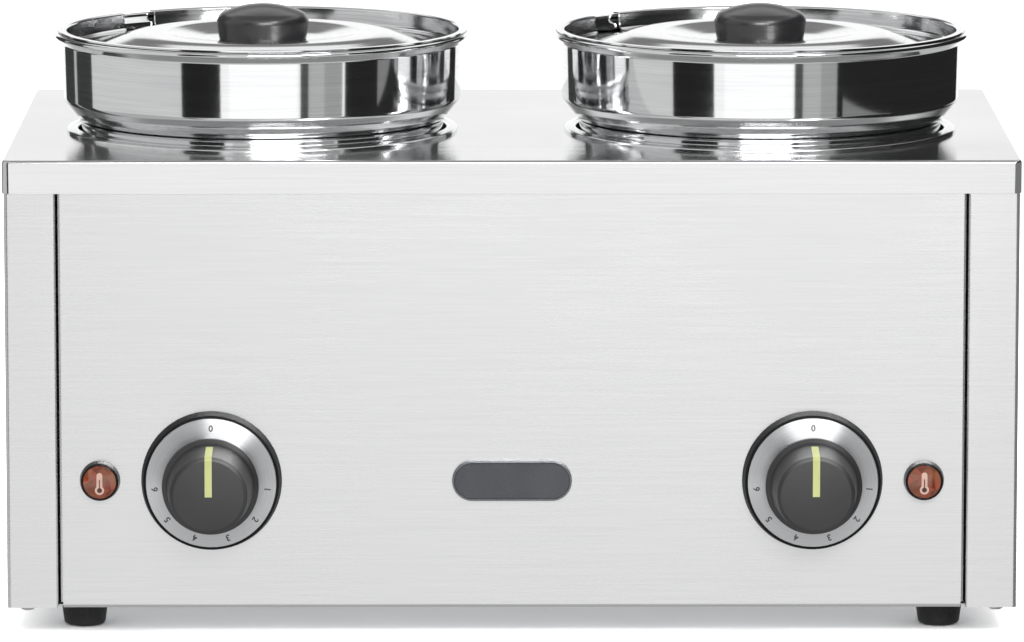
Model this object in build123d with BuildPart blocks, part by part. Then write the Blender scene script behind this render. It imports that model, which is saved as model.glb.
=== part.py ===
"""Electric chafing dish: a countertop bain-marie with two round pots in heated water wells.

Millimetres. +X is to the right, +Y to the back, +Z up. The origin is on the resting surface,
under the centre of the whole dish.
"""
from build123d import *
import os
from math import atan2, cos, degrees, radians, sin, tan

os.makedirs("parts", exist_ok=True)

# Case
deck_width = 505.0
deck_depth = 295.0
body_height = 225.0
sheet = 0.8
skirt_height = 16.5
deck_corner_radius = 4.0
deck_bend_radius = 1.6
body_bend_radius = 2.0
bottom_bend_radius = 1.9
fold_height = 3.0
return_width = 25.6
groove_width = 0.9
groove_bend_radius = 1.4
groove_flange = 10.0
bottom_flange = 16.0
front_flange = 13.0
sheet_clearance = 0.3
vent_slot_length = 34.0
vent_slot_width = 5.0
vent_pitch = 12.0
vent_rows = 6

# Feet
foot_height = 13.0
foot_top_radius = 12.0
foot_bottom_radius = 10.2
foot_edge_radius = 2.4
foot_recess_radius = 5.4
foot_recess_depth = 6.0
foot_side_inset = 37.2
foot_setback = 27.0

# Pots, standing on ribs in the wells
pot_spacing = 254.0
pot_setback = 125.0
pot_wall = 0.8
drum_radius = 101.9
drum_foot_radius = 101.2
neck_radius = 92.2
pot_foot_radius = 91.0
neck_height = 140.0
shoulder_height = 11.4
drum_height = 34.3
rim_bead_radius = 1.5
rim_bead_offset = 2.7
rim_flare_height = 4.0
rim_bend_radius = 1.6
shoulder_radius = 4.0
neck_bend_radius = 3.0
pot_corner_radius = 14.0
shoulder_lift = 5.3

# Water wells
well_clearance = 1.4
lip_width = 6.2
lip_height = 3.1
lip_edge_height = 1.8
lip_outer_radius = 1.2
lip_inner_radius = 2.2
well_corner_radius = 16.0
deck_hole_clearance = 0.4
rib_height = 4.0
rib_width = 7.0
rib_length = 42.0
rib_inner_radius = 24.0
rib_count = 4
rib_edge_radius = 1.3

# Lids
lid_sheet = 0.8
lid_flange_radius = 104.0
lid_wall_clearance = 0.5
lid_wall_taper = 0.6
lid_seat_gap = 0.3
lid_floor_drop = 8.9
lid_dome_rise = 7.2
lid_hub_drop = 3.9
lid_floor_width = 13.0
lid_dome_outer_radius = 64.0
lid_dome_inner_radius = 48.0
lid_hub_radius = 38.0
lid_flange_bend = 1.2
lid_floor_bend = 2.0
lid_dome_bend = 28.0
lid_edge_bend = 1.4
lid_hub_bend = 12.0
notch_width = 20.5
notch_length = 15.0
left_notch_angle = 131.8
right_notch_angle = 140.8
left_lid_shift = 0.4

# Lid knobs
grip_base_radius = 22.2
grip_radius = 23.4
grip_height = 18.0
grip_waist_height = 8.8
grip_shoulder_radius = 5.5
grip_base_edge = 0.8
grip_screw_radius = 2.5
grip_screw_depth = 9.0
grip_screw_head_radius = 4.8
grip_screw_head_height = 2.6

# Controls
control_height = 64.5
control_inset = 75.7
bezel_radius = 35.0
bezel_front_radius = 33.6
bezel_height = 7.9
bezel_web = 2.0
bezel_edge = 0.6
dial_radius = 32.5
dial_clearance = 0.1
dial_ledge = 2.2
dial_thickness = 0.8
dial_bore_radius = 9.0
knob_height = 37.4
knob_skirt_radius = 24.0
knob_base_radius = 19.5
knob_neck_height = 7.0
knob_skirt_height = 11.5
knob_skirt_edge = 0.8
knob_body_radius = 21.6
knob_face_radius = 19.2
knob_face_chamfer = 1.8
knob_edge_radius = 0.3
knob_turn_clearance = 0.6
knob_socket_depth = 16.0
pointer_width = 3.5
pointer_depth = 1.0
pointer_proud = 0.25
pointer_rise = 5.0
pointer_tail = 0.4
shaft_radius = 3.0
shaft_flat = 0.8
shaft_clearance = 0.06
bushing_radius = 4.6
bushing_clearance = 0.3

# Thermostats
thermostat_width = 44.0
thermostat_height = 40.0
thermostat_depth = 24.0
thermostat_corner = 2.0
thermostat_screw_spacing = 28.0
thermostat_screw_radius = 2.0
thermostat_screw_head_radius = 3.6
thermostat_screw_head_height = 2.2
thermostat_screw_depth = 8.0
tab_width = 6.3
tab_length = 8.0
tab_thickness = 0.8
shaft_insertion = 12.0
shaft_end_gap = 0.5
bushing_reach = 3.5
blade_spread = 13.0
blade_rise = 10.0

# Pilot lamps
pilot_offset = 55.5
pilot_bezel_radius = 10.1
pilot_bezel_front_radius = 9.3
pilot_bezel_height = 5.6
pilot_bezel_edge = 0.5
pilot_lens_radius = 8.3
pilot_lens_height = 5.4
pilot_lens_crown = 1.0
pilot_barrel_radius = 5.9
pilot_barrel_depth = 24.0
pilot_nut_radius = 8.6
pilot_nut_height = 3.0
pilot_clearance = 0.2
pilot_web = 1.0

# Badge and rating plate
badge_length = 59.5
badge_height = 20.0
badge_thickness = 2.2
badge_rim_width = 1.3
badge_rim_height = 0.5
rating_plate_length = 70.0
rating_plate_height = 38.0
rating_plate_thickness = 0.5
rating_plate_inset = 131.7

# Heaters under the wells
element_radius = 3.25
element_ring_radius = 58.0
element_gap_angle = 40.0
element_bend_radius = 9.0
element_leg_length = 16.0
clamp_width = 18.0
clamp_thickness = 2.0
clamp_overhang = 6.0
clamp_stud_radius = 3.0
clamp_stud_length = 15.0
clamp_nut_across = 10.0
clamp_nut_height = 5.0
bulb_length = 76.0
bulb_offset = 28.0
capillary_radius = 0.9
capillary_lead = 8.0
capillary_drop = 3.0
capillary_entry = -8.0
cutout_radius = 8.0
cutout_height = 6.0
cutout_flange_radius = 11.0
cutout_flange_height = 1.2
cutout_gap = 3.0

# Mains inlet and terminals
gland_height = 34.0
gland_inset = 101.7
gland_across = 20.0
gland_flange_height = 5.0
gland_nut_radius = 9.5
gland_nut_height = 11.0
gland_thread_radius = 7.8
gland_thread_depth = 10.0
gland_bore_radius = 4.25
gland_nut_crown = 2.5
locknut_across = 21.0
locknut_height = 4.0
terminal_length = 52.0
terminal_width = 20.0
terminal_height = 17.0
terminal_ways = 5
terminal_inset = 171.7
terminal_setback = 34.0
terminal_step = 5.0
terminal_entry_height = 6.0
terminal_hole_radius = 2.4
terminal_hole_depth = 8.0
earth_inset = 61.7
earth_setback = 60.0
earth_stud_radius = 2.5
earth_stud_length = 16.0
earth_nut_across = 8.0
earth_nut_height = 4.0

# Screws and wires
base_screw_radius = 2.0
base_screw_head_radius = 4.0
base_screw_head_height = 2.4
base_screw_inset = 9.7
base_screw_setback = 9.0
base_screw_rows = 3
rear_screw_rows = 3
rear_screw_margin = 30.0
foot_screw_radius = 2.5
foot_screw_head_radius = 4.6
foot_screw_head_height = 3.0
foot_nut_across = 8.0
foot_nut_height = 4.0
screw_clearance = 0.15
screw_tip = 3.0
wire_radius = 1.2
wire_height = 7.0
wire_lead = 14.0
wire_drop = 18.0

# Levels and faces worked out from the sizes above
body_bottom = foot_height
deck_top = body_bottom + body_height
deck_under = deck_top - sheet
base_under = body_bottom + sheet
base_top = base_under + sheet
half_width = deck_width / 2 - sheet
return_edge = half_width - return_width
panel_edge = return_edge - groove_width
control_x = panel_edge - control_inset
pilot_x = control_x + pilot_offset
foot_x = half_width - foot_side_inset
gland_x = gland_inset - half_width
terminal_x = terminal_inset - half_width
earth_x = earth_inset - half_width
rating_plate_x = half_width - rating_plate_inset
fold_top = body_bottom + fold_height
panel_top = deck_top - deck_bend_radius
dial_front = bezel_height
knob_back = dial_front + knob_turn_clearance
knob_reach = knob_back + knob_height
gland_reach = gland_flange_height + gland_nut_height
overall_depth = knob_reach + pointer_proud + deck_depth + gland_reach - 3 * sheet
deck_front = knob_reach + pointer_proud - sheet - overall_depth / 2
body_front = deck_front + sheet
body_back = deck_front + deck_depth - sheet
rear_panel_back = body_back - sheet
rear_panel_front = rear_panel_back - sheet
deck_center = deck_front + deck_depth / 2
side_fold_length = rear_panel_front - sheet_clearance - body_front - body_bend_radius
pot_y = deck_front + pot_setback
control_z = body_bottom + control_height
gland_z = body_bottom + gland_height

well_floor = deck_top + shoulder_lift - neck_height - rib_height
well_under = well_floor - sheet
well_radius = neck_radius + well_clearance
lip_radius = well_radius + lip_width
pot_bottom = well_floor + rib_height
shoulder_bottom = pot_bottom + neck_height
shoulder_top = shoulder_bottom + shoulder_height
clamp_top = well_under - 2 * element_radius
clamp_bottom = clamp_top - clamp_thickness
drum_top = shoulder_top + drum_height - rim_flare_height - rim_bead_radius
rim_top = shoulder_top + drum_height
rim_bead_center = drum_radius + rim_bead_offset
lid_top = rim_top + lid_seat_gap + lid_sheet
lid_wall_radius = drum_radius - pot_wall - lid_wall_clearance - lid_sheet
lid_floor = lid_top - lid_floor_drop
lid_crest = lid_floor + lid_dome_rise
lid_hub = lid_crest - lid_hub_drop
grip_waist = lid_hub + grip_waist_height
grip_top = lid_hub + grip_height
grip_reach = grip_radius - grip_shoulder_radius
grip_rise = grip_height - grip_waist_height - grip_shoulder_radius
grip_crown_radius = (grip_reach**2 + grip_rise**2) / (2 * grip_rise) + grip_shoulder_radius
grip_crown_center = grip_top - grip_crown_radius
grip_turn = atan2(grip_waist - grip_crown_center, grip_reach)
crown_middle = (grip_turn + radians(90)) / 2

well_points = ((-pot_spacing / 2, pot_y), (pot_spacing / 2, pot_y))
foot_ys = (body_front + foot_setback, body_back - foot_setback)
foot_points = [(x, y) for x in (-foot_x, foot_x) for y in foot_ys]
base_screw_x = half_width - base_screw_inset
base_screw_front = body_front + base_screw_setback
base_screw_back = rear_panel_front - base_screw_setback
base_screw_pitch = (base_screw_back - base_screw_front) / (base_screw_rows - 1)
base_screw_points = [
    (x, base_screw_front + row * base_screw_pitch)
    for x in (-base_screw_x, base_screw_x)
    for row in range(base_screw_rows)
]
rear_screw_low = body_bottom + rear_screw_margin
rear_screw_pitch = (body_height - skirt_height - 2 * rear_screw_margin) / (rear_screw_rows - 1)
rear_screw_points = [
    (x, rear_screw_low + row * rear_screw_pitch)
    for x in (-(half_width - return_width / 2), half_width - return_width / 2)
    for row in range(rear_screw_rows)
]

sides = (("left", -1), ("right", 1))


def sheet_section(points, radii, side, thickness=sheet):
    """Section of a folded or spun sheet: a rounded line, and the same line one thickness beside it."""
    with BuildSketch() as section:
        with BuildLine():
            FilletPolyline(*points, radius=radii)
            offset(amount=thickness, side=side, mode=Mode.REPLACE)
        make_face()
    return section.sketch


def crown_arc(radius, level, rise):
    """Half the outline of a shallow dome that meets the axis squarely."""
    ball = (radius**2 + rise**2) / (2 * rise)
    middle = radius / 2
    with BuildLine() as arc:
        ThreePointArc(
            (radius, level),
            (middle, level + rise - ball + (ball**2 - middle**2) ** 0.5 * (1 if rise > 0 else -1)),
            (0, level + rise),
        )
    return arc.line


def wire_run(points, radius):
    """A round wire along straight runs, each corner as round as its shorter run allows."""
    corners = []
    for before, corner, after in zip(points, points[1:], points[2:]):
        first = Vector(*corner) - Vector(*before)
        second = Vector(*after) - Vector(*corner)
        half_turn = radians(first.get_angle(second)) / 2
        corners.append(0.45 * min(first.length, second.length) / tan(half_turn))
    with BuildPart(mode=Mode.PRIVATE) as wire:
        with BuildLine() as route:
            FilletPolyline(*points, radius=corners)
        with BuildSketch(Plane(origin=route.line @ 0, z_dir=route.line % 0)):
            Circle(radius)
        sweep(path=route.line)
    return wire.part


# Deck cover: a shallow folded tray, upside down, with a hole for each well
with BuildPart() as deck_cover:
    with Locations((0, deck_center, deck_top - skirt_height / 2)):
        Box(deck_width, deck_depth, skirt_height)
    fillet(deck_cover.edges().filter_by(Axis.Z), deck_corner_radius)
    fillet(deck_cover.faces().sort_by(Axis.Z)[-1].edges(), deck_bend_radius)
    offset(amount=-sheet, openings=deck_cover.faces().sort_by(Axis.Z)[0])
    with BuildSketch(Plane.XY.offset(deck_under)):
        with Locations(*well_points):
            Circle(well_radius + sheet + deck_hole_clearance)
    extrude(amount=sheet, mode=Mode.SUBTRACT)
deck_cover.part.label = "deck_cover"
export_step(deck_cover.part, "parts/deck_cover.step")

# Front panel: folded back along both sides and under at the bottom
control_xs = (-control_x, control_x)
pilot_xs = (-pilot_x, pilot_x)
front_plane = Plane(origin=(0, body_front, control_z), x_dir=(1, 0, 0), z_dir=(0, -1, 0))
with BuildPart() as front_panel:
    with BuildSketch(Plane.XY.offset(fold_top)):
        add(sheet_section(
            [
                (-panel_edge, body_front + groove_flange),
                (-panel_edge, body_front),
                (panel_edge, body_front),
                (panel_edge, body_front + groove_flange),
            ],
            groove_bend_radius,
            Side.LEFT,
        ))
    extrude(amount=panel_top - fold_top)
    with BuildSketch(Plane.YZ.offset(groove_bend_radius - panel_edge)):
        add(sheet_section(
            [
                (body_front, fold_top),
                (body_front, body_bottom),
                (body_front + front_flange, body_bottom),
            ],
            bottom_bend_radius,
            Side.LEFT,
        ))
    extrude(amount=2 * (panel_edge - groove_bend_radius))
    with BuildSketch(front_plane):
        with Locations(*[(x, 0) for x in control_xs]):
            Circle(bushing_radius + bushing_clearance)
            with Locations((0, thermostat_screw_spacing / 2), (0, -thermostat_screw_spacing / 2)):
                Circle(thermostat_screw_radius + screw_clearance)
        with Locations(*[(x, 0) for x in pilot_xs]):
            Circle(pilot_barrel_radius + pilot_clearance)
    extrude(amount=-sheet, mode=Mode.SUBTRACT)
front_panel.part.label = "front_panel"
export_step(front_panel.part, "parts/front_panel.step")

# Side panels: folded round the front corners into a narrow return with a grooved edge,
# round the rear corners into a lap for the rear panel, and under at the bottom
with BuildPart() as side_panel:
    with BuildSketch(Plane.XY.offset(body_bottom)):
        add(sheet_section(
            [
                (return_edge, body_front + groove_flange),
                (return_edge, body_front),
                (half_width, body_front),
                (half_width, body_back),
                (return_edge, body_back),
            ],
            (groove_bend_radius, body_bend_radius, body_bend_radius),
            Side.LEFT,
        ))
    extrude(amount=panel_top - body_bottom)
    # The grooved edge stops short at the bottom, where the base plate passes
    with BuildSketch(Plane.XY.offset(body_bottom)):
        with Locations((return_edge, body_front + sheet)):
            Rectangle(return_width / 2, groove_flange + sheet, align=(Align.CENTER, Align.MIN))
    extrude(amount=2 * sheet + sheet_clearance, mode=Mode.SUBTRACT)
    # The top corners are relieved for the round inside corners of the deck skirt
    with BuildSketch(Plane.XY.offset(deck_top - skirt_height)):
        with Locations((half_width, body_front), (half_width, body_back)):
            Rectangle(2 * deck_corner_radius, 2 * deck_corner_radius)
    extrude(amount=skirt_height, mode=Mode.SUBTRACT)
    # Between the corners the wall is folded under
    with BuildSketch(Plane.XY.offset(body_bottom)):
        with Locations((half_width, body_front + body_bend_radius)):
            Rectangle(2 * sheet, side_fold_length, align=(Align.CENTER, Align.MIN))
    extrude(amount=fold_top - body_bottom, mode=Mode.SUBTRACT)
    with BuildSketch(Plane.XZ.offset(-body_front - body_bend_radius)):
        add(sheet_section(
            [
                (half_width, fold_top),
                (half_width, body_bottom),
                (half_width - bottom_flange, body_bottom),
            ],
            bottom_bend_radius,
            Side.RIGHT,
        ))
    extrude(amount=-side_fold_length)
    with BuildSketch(Plane.XY.offset(body_bottom)):
        with Locations(*[point for point in base_screw_points if point[0] > 0]):
            Circle(base_screw_radius + screw_clearance)
    extrude(amount=sheet, mode=Mode.SUBTRACT)
    with BuildSketch(Plane.XZ.offset(-body_back)):
        with Locations(*[point for point in rear_screw_points if point[0] > 0]):
            Circle(base_screw_radius + screw_clearance)
    extrude(amount=sheet, mode=Mode.SUBTRACT)
side_panel.part.label = "side_panel_right"
export_step(side_panel.part, "parts/side_panel_right.step")

with BuildPart() as side_panel_left:
    mirror(side_panel.part, about=Plane.YZ)
side_panel_left.part.label = "side_panel_left"
export_step(side_panel_left.part, "parts/side_panel_left.step")

# Rear panel: flat, lapped by the side panels' rear returns and folded under at the bottom
rear_plane = Plane(origin=(0, rear_panel_back, gland_z), x_dir=(-1, 0, 0), z_dir=(0, 1, 0))
with BuildPart() as rear_panel:
    with BuildSketch(Plane.XZ.offset(-rear_panel_back)):
        with Locations((0, (body_bottom + panel_top) / 2)):
            Rectangle(2 * (half_width - body_bend_radius - sheet_clearance), panel_top - body_bottom)
    extrude(amount=sheet)
    with BuildSketch(Plane.XY.offset(body_bottom)):
        with Locations((0, rear_panel_back - front_flange / 2)):
            Rectangle(2 * (half_width - bottom_flange - sheet), front_flange)
    extrude(amount=sheet)
    with BuildSketch(rear_plane):
        with Locations((-gland_x, 0)):
            Circle(gland_thread_radius + screw_clearance)
    extrude(amount=-sheet, mode=Mode.SUBTRACT)
    with BuildSketch(Plane.XZ.offset(-rear_panel_back)):
        with Locations(*rear_screw_points):
            Circle(base_screw_radius + screw_clearance)
    extrude(amount=sheet, mode=Mode.SUBTRACT)
rear_panel.part.label = "rear_panel"
export_step(rear_panel.part, "parts/rear_panel.step")

# Base plate: rests on the folded edges of the four panels, with vents under each well
base_length = 2 * (half_width - bottom_bend_radius)
base_start = body_front + bottom_bend_radius
base_depth = rear_panel_front - sheet_clearance - base_start
with BuildPart() as base_plate:
    with BuildSketch(Plane.XY.offset(base_under)):
        with Locations((0, base_start + base_depth / 2)):
            RectangleRounded(base_length, base_depth, 2 * body_bend_radius)
        with Locations(*well_points):
            with GridLocations(2 * vent_slot_length, vent_pitch, 2, vent_rows):
                SlotOverall(vent_slot_length, vent_slot_width, mode=Mode.SUBTRACT)
        with Locations(*foot_points):
            Circle(foot_screw_radius + screw_clearance, mode=Mode.SUBTRACT)
        with Locations(*base_screw_points):
            Circle(base_screw_radius + screw_clearance, mode=Mode.SUBTRACT)
    extrude(amount=sheet)
base_plate.part.label = "base_plate"
export_step(base_plate.part, "parts/base_plate.step")

# Feet: tapered rubber, each held by a recessed screw and a nut on the base plate
foot_full_height = foot_height + sheet
with BuildPart() as feet:
    with Locations(*foot_points):
        with Locations((0, 0, foot_full_height / 2)):
            Cone(foot_bottom_radius, foot_top_radius, foot_full_height)
    fillet(feet.edges().filter_by(GeomType.CIRCLE).group_by(Axis.Z)[0], foot_edge_radius)
    with Locations(*foot_points):
        with Locations((0, 0, foot_recess_depth / 2)):
            Cylinder(foot_recess_radius, foot_recess_depth, mode=Mode.SUBTRACT)
        with Locations((0, 0, foot_full_height / 2)):
            Cylinder(foot_screw_radius + screw_clearance, foot_full_height, mode=Mode.SUBTRACT)
feet.part.label = "feet"
export_step(feet.part, "parts/feet.step")

foot_screw_top = base_top + foot_nut_height + screw_tip / 2
with BuildPart() as foot_screws:
    with Locations(*foot_points):
        with Locations((0, 0, foot_recess_depth)):
            Cylinder(
                foot_screw_head_radius,
                foot_screw_head_height,
                align=(Align.CENTER, Align.CENTER, Align.MAX),
            )
            Cylinder(
                foot_screw_radius,
                foot_screw_top - foot_recess_depth,
                align=(Align.CENTER, Align.CENTER, Align.MIN),
            )
foot_screws.part.label = "foot_screws"
export_step(foot_screws.part, "parts/foot_screws.step")

with BuildPart() as foot_nuts:
    with BuildSketch(Plane.XY.offset(base_top)):
        with Locations(*foot_points):
            RegularPolygon(foot_nut_across / 2, 6, major_radius=False)
            Circle(foot_screw_radius + screw_clearance, mode=Mode.SUBTRACT)
    extrude(amount=foot_nut_height)
foot_nuts.part.label = "foot_nuts"
export_step(foot_nuts.part, "parts/foot_nuts.step")

# Base screws: pan heads under the side panels' folded edges
with BuildPart() as base_screws:
    with Locations(*base_screw_points):
        with Locations((0, 0, body_bottom)):
            Cylinder(
                base_screw_head_radius,
                base_screw_head_height,
                align=(Align.CENTER, Align.CENTER, Align.MAX),
            )
            Cylinder(
                base_screw_radius,
                2 * sheet + screw_tip,
                align=(Align.CENTER, Align.CENTER, Align.MIN),
            )
    fillet(base_screws.edges().group_by(Axis.Z)[0], base_screw_head_height / 2)
base_screws.part.label = "base_screws"
export_step(base_screws.part, "parts/base_screws.step")

# Rear screws: pan heads on the rear returns, through both sheets
with BuildPart() as rear_screws:
    with BuildSketch(Plane.XZ.offset(-body_back)):
        with Locations(*rear_screw_points):
            Circle(base_screw_head_radius)
    extrude(amount=-base_screw_head_height)
    fillet(rear_screws.edges().group_by(Axis.Y)[-1], base_screw_head_height / 2)
    with BuildSketch(Plane.XZ.offset(-body_back)):
        with Locations(*rear_screw_points):
            Circle(base_screw_radius)
    extrude(amount=2 * sheet + screw_tip)
rear_screws.part.label = "rear_screws"
export_step(rear_screws.part, "parts/rear_screws.step")

# Rating plate: bare, on the rear panel
with BuildPart() as rating_plate:
    with BuildSketch(rear_plane):
        with Locations((-rating_plate_x, rating_plate_height / 2)):
            RectangleRounded(rating_plate_length, rating_plate_height, 2)
    extrude(amount=rating_plate_thickness)
rating_plate.part.label = "rating_plate"
export_step(rating_plate.part, "parts/rating_plate.step")

# Badge: a bare pill with a raised rim, on the front panel between the dials
with BuildPart() as badge:
    with BuildSketch(front_plane):
        SlotOverall(badge_length, badge_height)
    extrude(amount=badge_thickness + badge_rim_height)
    fillet(badge.faces().sort_by(Axis.Y)[0].edges(), badge_rim_height)
    with BuildSketch(front_plane.offset(badge_thickness)):
        SlotOverall(badge_length - 2 * badge_rim_width, badge_height - 2 * badge_rim_width)
    extrude(amount=badge_rim_height, mode=Mode.SUBTRACT)
badge.part.label = "badge"
export_step(badge.part, "parts/badge.step")

# Wells, pots, lids, lid knobs and the heaters under the wells
for side, sign in sides:
    pot_x = sign * pot_spacing / 2
    well_axis = Axis((pot_x, pot_y, 0), (0, 0, 1))
    well_section = Plane(origin=(pot_x, pot_y, 0), x_dir=(1, 0, 0), z_dir=(0, -1, 0))
    well_level = Plane(origin=(pot_x, pot_y, 0))

    # Well: a pressed bowl with a sloping ring lip on the deck, and ribs that the pot stands on
    with BuildPart() as well:
        with BuildSketch(well_section):
            add(sheet_section(
                [
                    (lip_radius, deck_top),
                    (lip_radius, deck_top + lip_edge_height),
                    (well_radius, deck_top + lip_height),
                    (well_radius, well_floor),
                    (0, well_floor),
                ],
                (lip_outer_radius, lip_inner_radius, well_corner_radius),
                Side.LEFT,
            ))
        revolve(axis=well_axis)
        with Locations((pot_x, pot_y, well_floor)):
            with PolarLocations(rib_inner_radius + rib_length / 2, rib_count, start_angle=45):
                Box(rib_length, rib_width, rib_height, align=(Align.CENTER, Align.CENTER, Align.MIN))
        fillet(well.edges(Select.LAST).group_by(Axis.Z)[-1], rib_edge_radius)
    well.part.label = f"well_{side}"
    export_step(well.part, f"parts/well_{side}.step")

    # Pot: a wide drum above the deck, a shoulder, and a narrower body down in the well
    with BuildPart() as pot:
        with BuildSketch(well_section):
            add(sheet_section(
                [
                    (rim_bead_center, rim_top - rim_bead_radius),
                    (drum_radius, drum_top),
                    (drum_foot_radius, shoulder_top),
                    (neck_radius, shoulder_bottom),
                    (pot_foot_radius, pot_bottom),
                    (0, pot_bottom),
                ],
                (rim_bend_radius, shoulder_radius, neck_bend_radius, pot_corner_radius),
                Side.RIGHT,
                pot_wall,
            ))
            with Locations((rim_bead_center, rim_top - rim_bead_radius)):
                Circle(rim_bead_radius)
        revolve(axis=well_axis)
    pot.part.label = f"pot_{side}"
    export_step(pot.part, f"parts/pot_{side}.step")

    # Lid: flange on the rim, collar down inside it, raised ring and sunk hub, and a ladle notch
    lid_x = pot_x + (left_lid_shift if side == "left" else 0)
    lid_axis = Axis((lid_x, pot_y, 0), (0, 0, 1))
    lid_section = Plane(origin=(lid_x, pot_y, 0), x_dir=(1, 0, 0), z_dir=(0, -1, 0))
    notch_angle = left_notch_angle if side == "left" else right_notch_angle
    with BuildPart() as lid:
        with BuildSketch(lid_section):
            add(sheet_section(
                [
                    (lid_flange_radius, lid_top),
                    (lid_wall_radius, lid_top),
                    (lid_wall_radius - lid_wall_taper, lid_floor),
                    (lid_wall_radius - lid_floor_width, lid_floor),
                    (lid_dome_outer_radius, lid_crest),
                    (lid_dome_inner_radius, lid_crest),
                    (lid_hub_radius, lid_hub),
                    (0, lid_hub),
                ],
                (lid_flange_bend, lid_floor_bend, lid_dome_bend, lid_dome_bend, lid_edge_bend, lid_hub_bend),
                Side.LEFT,
                lid_sheet,
            ))
        revolve(axis=lid_axis)
        notch_base = Plane(origin=(lid_x, pot_y, lid_floor - 2 * lid_sheet)).rotated((0, 0, notch_angle))
        with BuildSketch(notch_base):
            with Locations((lid_flange_radius - notch_length + notch_width / 2, 0)):
                Circle(notch_width / 2)
                Rectangle(notch_length, notch_width, align=(Align.MIN, Align.CENTER))
        extrude(amount=lid_floor_drop + 3 * lid_sheet, mode=Mode.SUBTRACT)
        with Locations((lid_x, pot_y, lid_hub)):
            Cylinder(grip_screw_radius + screw_clearance, 4 * lid_sheet, mode=Mode.SUBTRACT)
    lid.part.label = f"lid_{side}"
    export_step(lid.part, f"parts/lid_{side}.step")

    # Lid knob: a black dome over a tapered waist on the hub, with a blind hole for its screw
    with BuildPart() as grip:
        with BuildSketch(lid_section):
            with BuildLine():
                Polyline(
                    (0, grip_top),
                    (0, lid_hub),
                    (grip_base_radius, lid_hub),
                    (grip_radius, grip_waist),
                )
                ThreePointArc(
                    (grip_radius, grip_waist),
                    (
                        grip_reach + grip_shoulder_radius * cos(grip_turn / 2),
                        grip_waist + grip_shoulder_radius * sin(grip_turn / 2),
                    ),
                    (grip_crown_radius * cos(grip_turn), grip_crown_center + grip_crown_radius * sin(grip_turn)),
                )
                ThreePointArc(
                    (grip_crown_radius * cos(grip_turn), grip_crown_center + grip_crown_radius * sin(grip_turn)),
                    (grip_crown_radius * cos(crown_middle), grip_crown_center + grip_crown_radius * sin(crown_middle)),
                    (0, grip_top),
                )
            make_face()
        revolve(axis=lid_axis)
        fillet(grip.faces().sort_by(Axis.Z)[0].edges(), grip_base_edge)
        with Locations((lid_x, pot_y, lid_hub)):
            Cylinder(
                grip_screw_radius + screw_clearance,
                grip_screw_depth,
                align=(Align.CENTER, Align.CENTER, Align.MIN),
                mode=Mode.SUBTRACT,
            )
    grip.part.label = f"lid_knob_{side}"
    export_step(grip.part, f"parts/lid_knob_{side}.step")

    # Screw that holds the lid knob from under the lid
    with BuildPart() as grip_screw:
        with Locations((lid_x, pot_y, lid_hub - lid_sheet)):
            Cylinder(
                grip_screw_head_radius,
                grip_screw_head_height,
                align=(Align.CENTER, Align.CENTER, Align.MAX),
            )
            Cylinder(
                grip_screw_radius,
                lid_sheet + grip_screw_depth - screw_clearance,
                align=(Align.CENTER, Align.CENTER, Align.MIN),
            )
        fillet(grip_screw.edges().group_by(Axis.Z)[0], grip_screw_head_height / 3)
    grip_screw.part.label = f"lid_knob_screw_{side}"
    export_step(grip_screw.part, f"parts/lid_knob_screw_{side}.step")

    # Heating element: a tube bent into an open ring against the well floor, its legs turned down
    ring_z = well_under - element_radius
    with BuildPart() as element:
        with BuildLine() as element_path:
            ring_center = Vector(pot_x, pot_y, ring_z)
            ends = []
            for turn in (1, -1):
                angle = radians(90 - turn * element_gap_angle / 2)
                end = ring_center + Vector(cos(angle), sin(angle)) * element_ring_radius
                along = Vector(-turn * sin(angle), turn * cos(angle))
                knee = end + along * element_bend_radius * sin(radians(45))
                knee = knee - Vector(0, 0, element_bend_radius * (1 - cos(radians(45))))
                heel = end + along * element_bend_radius - Vector(0, 0, element_bend_radius)
                ends.append((end, knee, heel, heel - Vector(0, 0, element_leg_length)))
            (end_a, knee_a, heel_a, tip_a), (end_b, knee_b, heel_b, tip_b) = ends
            Line(tip_a, heel_a)
            ThreePointArc(heel_a, knee_a, end_a)
            ThreePointArc(end_a, ring_center - Vector(0, element_ring_radius, 0), end_b)
            ThreePointArc(end_b, knee_b, heel_b)
            Line(heel_b, tip_b)
        with BuildSketch(Plane(origin=element_path.line @ 0, z_dir=element_path.line % 0)):
            Circle(element_radius)
        sweep(path=element_path.line)
    element.part.label = f"heating_element_{side}"
    export_step(element.part, f"parts/heating_element_{side}.step")

    # Clamp bar: presses the element and the sensing bulb to the well, drawn up by a stud and nut
    with BuildPart() as clamp_bar:
        with BuildSketch(well_level.offset(clamp_top)):
            SlotOverall(2 * (element_ring_radius + element_radius + clamp_overhang), clamp_width)
            Circle(clamp_stud_radius + screw_clearance, mode=Mode.SUBTRACT)
        extrude(amount=-clamp_thickness)
    clamp_bar.part.label = f"clamp_bar_{side}"
    export_step(clamp_bar.part, f"parts/clamp_bar_{side}.step")

    # Safety cut-out: a small disc thermostat on the well floor, with two blade terminals
    cutout_y = pot_y + clamp_width / 2 + cutout_flange_radius + cutout_gap
    cutout_plane = Plane(origin=(pot_x, cutout_y, well_under))
    with BuildPart() as cutout:
        with BuildSketch(cutout_plane):
            Circle(cutout_flange_radius)
        extrude(amount=-cutout_flange_height)
        with BuildSketch(cutout_plane):
            Circle(cutout_radius)
        extrude(amount=-cutout_height)
        with BuildSketch(cutout_plane.offset(-cutout_height)):
            with Locations((-cutout_radius / 2, 0), (cutout_radius / 2, 0)):
                Rectangle(tab_thickness, tab_width)
        extrude(amount=-tab_length)
    cutout.part.label = f"safety_cutout_{side}"
    export_step(cutout.part, f"parts/safety_cutout_{side}.step")

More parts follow.
